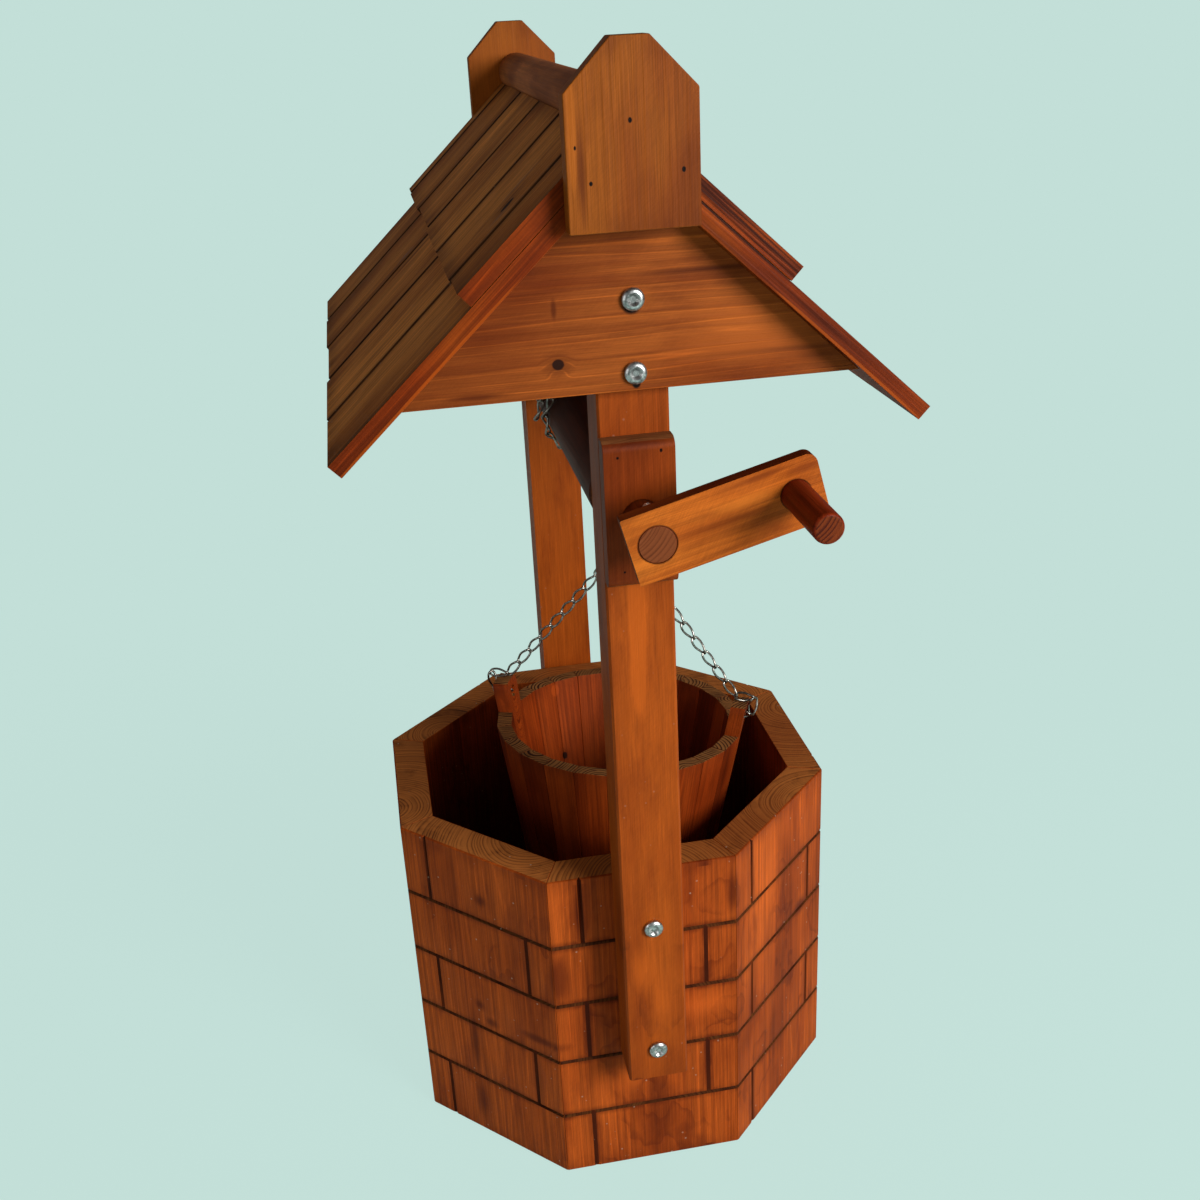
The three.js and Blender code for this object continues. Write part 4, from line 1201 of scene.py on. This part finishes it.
def bucketRadius(height):
    return bucket["rimRadius"] + height * bucketSlope


def earPath():
    # joints of the chain over an ear: radius and height in the bucket's frame
    height = bucket["earHeight"] + bucket["earChainRise"]
    outer = bucketRadius(height) * math.cos(math.pi / bucket["staves"]) + bucket["earChainRise"]
    below = (outer - linkPitch * bucketSlope, height - linkPitch)
    return [(outer - linkPitch, height), (outer, height), below, (below[0] - linkPitch, below[1])]


def ringHook(play):
    return chain["ringRadius"] - chain["ringWire"] / 2 - chain["wire"] / 2 - play + crownBack


dropTop = sizes["axleHeight"] - chain["dropUnderAxle"]
dropBottom = dropTop - chain["dropLinks"] * linkPitch
ringCentre = Vector((chain["jointRadius"], bucket["y"], dropBottom - ringHook(chain["play"])))


def hangingHeight():
    reach = chain["legLinks"] * linkPitch + ringHook(0)
    rises = []
    for sign in (-1, 1):
        radius, height = earPath()[0]
        end = bucketFrame(0) @ Vector((sign * radius, 0, height))
        run = math.hypot(end.x - ringCentre.x, end.y - ringCentre.y)
        rises.append(end.z + math.sqrt(reach * reach - run * run))
    return ringCentre.z - sum(rises) / 2


bucketPlace = bucketFrame(hangingHeight())
print("bucket rim at", round(bucketPlace.translation.z, 2))


def staveTree():
    start, given = newTree("staveRing", {"Int": ["Count"], "Float": [
        "Rim Radius", "Height", "Wall", "Lean", "Ear Height", "Gap"]})
    count = given.output("Count")
    points = start.node("GeometryNodePoints", {}, {"Count": count})
    unit = start.node("GeometryNodeMeshCube", {}, {
        "Size": (1, 1, 1), "Vertices X": 2, "Vertices Y": 2, "Vertices Z": 2})
    unit = start.node("GeometryNodeTransform", {}, {"Geometry": unit, "Translation": (0.5, 0, 0.5)})
    row = start.node("GeometryNodeInstanceOnPoints", {}, {"Points": points, "Instance": unit})
    real = realBoards(start, row)
    stave = start.node("GeometryNodeInputNamedAttribute", {"data_type": "INT"}, {"Name": "board"})
    deep, across, up = start.node("GeometryNodeInputPosition").split()
    # the first stave and the one opposite stand up as ears
    isEar = 1 - (stave * 2 / count).maths("FRACT").between(0.0001, 0.001)
    height = up * (given.output("Height") + isEar * given.output("Ear Height")) - given.output("Height")
    halfTurn = math.pi / count
    radius = given.output("Rim Radius") + height * given.output("Lean") - given.output("Wall") * (1 - deep)
    flat = radius * halfTurn.maths("COSINE")
    side = across * (flat * halfTurn.maths("TANGENT") * 2 - given.output("Gap"))
    angle = stave * full / count
    cosine, sine = angle.maths("COSINE"), angle.maths("SINE")
    moved = start.joined(flat * cosine - side * sine, flat * sine + side * cosine, height)
    shaped = start.node("GeometryNodeSetPosition", {}, {"Geometry": real, "Position": moved})
    return closedTree(start, shaped, "bucketWood")


def metric(place):
    # the same place with its shift in metres
    moved = place.copy()
    moved.translation = place.translation * mm
    return moved


def bucketStaves():
    # the ring of staves in its own frame, with round shoulders on its ears and a hole through both
    inputs = {label: bucket[key] * mm for label, key in (
        ("Rim Radius", "rimRadius"), ("Height", "height"), ("Wall", "wall"), ("Ear Height", "earHeight"),
        ("Gap", "gap"))}
    inputs["Count"] = bucket["staves"]
    inputs["Lean"] = bucketSlope
    body = builtShape(staveTree(), inputs)
    bmesh.ops.recalc_face_normals(body, faces=body.faces)
    earTop = bucket["earHeight"] * mm

    def rule(line):
        if line.calc_face_angle(0) < math.radians(10):
            return None
        ends = [corner.co for corner in line.verts]
        shoulder = all(abs(e.z - earTop) < 0.1 * mm for e in ends) and abs(ends[0].y - ends[1].y) < 4 * mm
        return (bucket["earRound"], 5) if shoulder else (bucket["edge"], 2)

    eased(body, rule)
    bore = bmesh.new()
    radius = bucket["holeRadius"] * mm
    bmesh.ops.create_cone(bore, cap_ends=True, segments=32, radius1=radius, radius2=radius, depth=400 * mm,
                          matrix=Matrix.Rotation(math.pi / 2, 4, "Y"))
    bmesh.ops.translate(bore, verts=bore.verts, vec=(0, 0, earPath()[3][1] * mm))
    drill = newObject("drill", meshOf(bore, "drill"))
    host = newObject("staves", meshOf(body, "staves"))
    cutting = host.modifiers.new("holes", "BOOLEAN")
    cutting.object = drill
    cutting.solver = "EXACT"
    body = appliedShape(host)
    bpy.data.objects.remove(drill)
    return body


def makeBucket():
    body = bucketStaves()
    bmesh.ops.transform(body, matrix=metric(bucketPlace), verts=body.verts)
    turn = bucketPlace.to_3x3()
    rise, lean = (f(math.radians(bucket["lean"])) for f in (math.cos, math.sin))
    angles = [k * full / bucket["staves"] for k in range(bucket["staves"])]
    rays = [(math.cos(a), math.sin(a)) for a in angles]
    grain = {
        "along": [turn @ Vector((lean * x, lean * y, rise)) for x, y in rays],
        "across": [turn @ Vector((-y, x, 0)) for x, y in rays],
        "seed": 91, "pithSide": 90, "pithDeep": 22,
    }
    made = finished("bucket_staves", body, [], "bucketWood", grain)
    placed(made, "bucket", ["bucket_shell"])
    body = cadCopy(["bucket_floor"])
    worn = eased(body, plainEase(0.6))
    grain = {"along": (1, 0, 0), "across": (0, 1, 0), "seed": 92, "pith": (20, 40)}
    made = finished("bucket_bottom", body, worn, "bucketWood", grain)
    placed(made, "bucket", ["bucket_floor"])


makeBucket()
print("bucket made")


# Chain: twisted oval links, one instance for each pair of joints
def linkTree():
    start, given = newTree("chainLinks", {
        "Geometry": ["Joints"], "Float": ["Wire", "Crown", "Belly", "Length", "Twist"],
        "Int": ["Around", "Section"]})
    wire, crown, around = (given.output(label) for label in ("Wire", "Crown", "Around"))
    loop = start.node("GeometryNodeCurvePrimitiveCircle", {}, {"Resolution": around})
    turn = start.node("GeometryNodeInputIndex") * full / around
    cosine, sine = turn.maths("COSINE"), turn.maths("SINE")
    straight = given.output("Length") / 2 - wire / 2 - crown
    stretch = (cosine * 2.6).maths("MAXIMUM", -1.0).maths("MINIMUM", 1.0)
    along = straight * stretch + crown * cosine
    across = (crown + (given.output("Belly") - crown) * (1 - stretch * stretch)) * sine
    twist = given.output("Twist") * stretch
    bent = start.joined(along, across * twist.maths("COSINE"), across * twist.maths("SINE"))
    path = start.node("GeometryNodeSetPosition", {}, {"Geometry": loop, "Position": bent})
    section = start.node("GeometryNodeCurvePrimitiveCircle", {}, {
        "Resolution": given.output("Section"), "Radius": wire / 2})
    link = start.node("GeometryNodeCurveToMesh", {}, {"Curve": path, "Profile Curve": section})
    # the link's long side lies along x, its flat side faces z
    turned = start.node("FunctionNodeAlignRotationToVector", {"axis": "X"}, {
        "Vector": namedVector(start, "forward")})
    turned = start.node("FunctionNodeAlignRotationToVector", {"axis": "Z", "pivot_axis": "X"}, {
        "Rotation": turned, "Vector": namedVector(start, "facing")})
    row = start.node("GeometryNodeInstanceOnPoints", {}, {
        "Points": given.output("Joints"), "Instance": link, "Rotation": turned})
    return closedTree(start, realInstances(start, row), "chainSteel")


chainTree = linkTree()


def makeLinks(name, joints, normals, bodyName, nodes, ring=None, stretch=None):
    pairs = list(zip(joints, joints[1:]))
    mesh = bpy.data.meshes.new("joints")
    mesh.from_pydata([(a + b) / 2 * mm for a, b in pairs], [], [])
    storeVectors(mesh, "forward", [(b - a).normalized() for a, b in pairs])
    storeVectors(mesh, "facing", normals)
    inputs = {label: chain[label.lower()] * mm for label in ("Wire", "Crown", "Belly", "Length")}
    inputs["Twist"] = math.radians(chain["twist"])
    inputs["Around"] = chain["around"]
    inputs["Section"] = chain["section"]
    body = builtShape(chainTree, inputs, mesh)
    if ring:
        addRing(body, ring)
    bmesh.ops.recalc_face_normals(body, faces=body.faces)
    links = meshOf(body, name)
    links.materials.append(materials["chainSteel"])
    links.shade_smooth()
    made = newObject(name, links)
    if stretch:
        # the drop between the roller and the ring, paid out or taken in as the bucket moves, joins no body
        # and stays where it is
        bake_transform(made)
        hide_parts(*nodes)
    else:
        placed(made, bodyName, nodes)


def addRing(body, place):
    rounds, section = chain["ringAround"], chain["ringSection"]
    wire = chain["ringWire"] / 2
    rows = []
    for a in (k * full / rounds for k in range(rounds)):
        row = []
        for b in (k * full / section for k in range(section)):
            reach = chain["ringRadius"] + wire * math.cos(b)
            spot = Vector((reach * math.cos(a), wire * math.sin(b), reach * math.sin(a)))
            row.append(body.verts.new(place @ (spot * mm)))
        rows.append(row)
    for k in range(rounds):
        near, far = rows[k], rows[(k + 1) % rounds]
        for m in range(section):
            n = (m + 1) % section
            body.faces.new((near[m], near[n], far[n], far[m]))


def makeChain():
    facing = (bucketPlace.to_3x3() @ Vector((0, 1, 0))).normalized()
    turn = math.radians(chain["twist"])
    for name, sign, play, node in (("chain_left", -1, -chain["bite"], "chain_leg_left"),
                                   ("chain_right", 1, chain["play"], "chain_leg_right")):
        ends = [bucketPlace @ Vector((sign * r, 0, h)) for r, h in earPath()]
        toEar = (ends[0] - ringCentre).normalized()
        first = ringCentre + toEar * ringHook(play)
        count = chain["legLinks"]
        joints = [first.lerp(ends[0], k / count) for k in range(count + 1)] + ends[1:]
        normals = []
        for k in range(len(joints) - 1):
            left = max(0, 1 - k / chain["untwist"])
            normals.append(Matrix.Rotation(-turn * left, 3, toEar) @ facing)
        ring = Matrix.Translation(ringCentre * mm) @ bucketPlace.to_3x3().to_4x4() if sign < 0 else None
        makeLinks(name, joints, normals, "bucket", [node], ring)

    bottom = Vector((ringCentre.x, ringCentre.y, dropBottom))
    top = Vector((ringCentre.x, ringCentre.y, dropTop))
    count = chain["dropLinks"]
    joints = [bottom.lerp(top, k / count) for k in range(count + 1)]
    overRing = Matrix.Rotation(-turn, 3, "Z") @ facing
    normals = [overRing.lerp(Vector((1, 0, 0)), k / count).normalized() for k in range(count)]
    over = Vector((0, 0, chain["blendOver"]))
    ends = [(top + over) * mm, (bottom - over) * mm]
    makeLinks("chain_drop_links", joints, normals, "well", ["chain_drop"], stretch=ends)


makeChain()


def woundJoints():
    radius = chain["jointRadius"]
    start = math.asin((dropTop - chain["bite"] - chain["play"] - sizes["axleHeight"]) / radius)
    along = chain["woundPitch"] * linkPitch / (full * radius)
    chord = math.sqrt(linkPitch * linkPitch - along * along)
    step = 2 * math.asin(chord / 2 / radius)
    joints = []
    for k in range(chain["woundLinks"] + 1):
        reach = radius + (chain["looseLift"] if k == chain["woundLinks"] else 0)
        angle = start + k * step
        joints.append(Vector((reach * math.cos(angle), bucket["y"] + k * along,
                              sizes["axleHeight"] + reach * math.sin(angle))))
    return joints


def makeWound():
    joints = woundJoints()
    normals = []
    for a, b in zip(joints, joints[1:]):
        middle = (a + b) / 2
        normals.append(Vector((middle.x, 0, middle.z - sizes["axleHeight"])).normalized())
    makeLinks("chain_on_roller", joints, normals, "windlass", ["chain_wound"])


makeWound()
print("chain made")


# Bolts, nails and the small screw in the hub: one turned head each, set by instances. A profile
# is radius and depth, in millimetres, from the head's middle outwards and then into the wood
fasteners = {
    "bolt": {
        "sides": 40,
        "profile": [
            (0.4, -2.6), (2.6, -2.6), (3.0, -3.4), (5.2, -5.0), (6.4, -5.0), (8.2, -3.9), (9.0, -3.0),
            (9.0, -0.2), (8.6, 0), (3.2, 0), (3.2, 6),
        ],
    },
    "nail": {"sides": 14, "profile": [(0.2, 0.35), (0.8, 0.3), (1.05, -0.05), (1.05, 0.2), (0.8, 1.5)]},
    "screw": {
        "sides": 24,
        "profile": [(0.6, -1.6), (1.2, -3.3), (2.8, -2.9), (3.8, -1.5), (4.1, 0), (1.4, 0.1), (1.4, 3.5)],
    },
}


def setTree(kind, material):
    start, given = newTree(kind + "Set", {"Geometry": ["Spots"], "Object": ["Head"]})
    head = start.node("GeometryNodeObjectInfo", {}, {"Object": given.output("Head")}, "Geometry")
    turned = start.node("FunctionNodeAlignRotationToVector", {"axis": "Y"}, {
        "Vector": namedVector(start, "outward").scaled(-1.0)})
    row = start.node("GeometryNodeInstanceOnPoints", {}, {
        "Points": given.output("Spots"), "Instance": head, "Rotation": turned})
    return closedTree(start, realInstances(start, row), material)


def setHeads(name, kind, material, bodyName, spots, nodes=()):
    head = newObject(kind, meshOf(lathe(fasteners[kind]["profile"], fasteners[kind]["sides"]), kind))
    mesh = bpy.data.meshes.new("spots")
    mesh.from_pydata([Vector(place) * mm for place, _ in spots], [], [])
    storeVectors(mesh, "outward", [out for _, out in spots])
    heads = meshOf(builtShape(setTree(kind, material), {"Head": head}, mesh), name)
    bpy.data.objects.remove(head)
    heads.materials.append(materials[material])
    heads.shade_smooth()
    heads.set_sharp_from_angle(angle=math.radians(32))
    placed(newObject(name, heads), bodyName, nodes)


# Where they sit, in millimetres: the bolts' heights, each nail's x and height, the screw's x and y
headSpots = {
    "base": (194.5, 343.5), "gable": (892, 950),
    "finialFront": ((-5.4, 1084), (-36, 1043), (32, 1048)),
    "finialRear": ((-3, 1082), (-34, 1046), (31, 1044)),
    "plate": ((-18, 824), (18, 828), (-16, 724)),
    "hub": (1.6, -313), "hubSunk": 0.3, "hubFacing": (0.1, 0, 1),
}


def makeFasteners():
    front, back = (0, -1, 0), (0, 1, 0)
    spots, nodes = [], []
    for side, out, sign in (("front", front, -1), ("rear", back, 1)):
        for row, face in (("base", sizes["postOuter"]), ("gable", sizes["gableOuter"])):
            for k, height in enumerate(headSpots[row]):
                spots.append(((0, sign * (face + sizes["gap"]), height), out))
                nodes.append(f"{row}_bolt_{side}_{k + 1}")
    setHeads("bolts", "bolt", "boltZinc", "well", spots, nodes)
    finialFace = sizes["halfRoof"] + sizes["gap"] + sizes["finialThickness"]
    plateFace = sizes["postOuter"] + sizes["gap"] + sizes["plateThickness"]
    spots = [((x, y, z), out) for places, y, out in (
        ("finialFront", -finialFace, front), ("finialRear", finialFace, back), ("plate", -plateFace, front))
        for x, z in headSpots[places]]
    setHeads("nails", "nail", "nailSteel", "well", spots)
    # the screw that keeps the arm on the axle
    hub = (*headSpots["hub"], sizes["axleHeight"] + sizes["axleRadius"] - headSpots["hubSunk"])
    setHeads("hub_screw", "screw", "hubSteel", "windlass", [(hub, headSpots["hubFacing"])])


makeFasteners()
print("fasteners made")
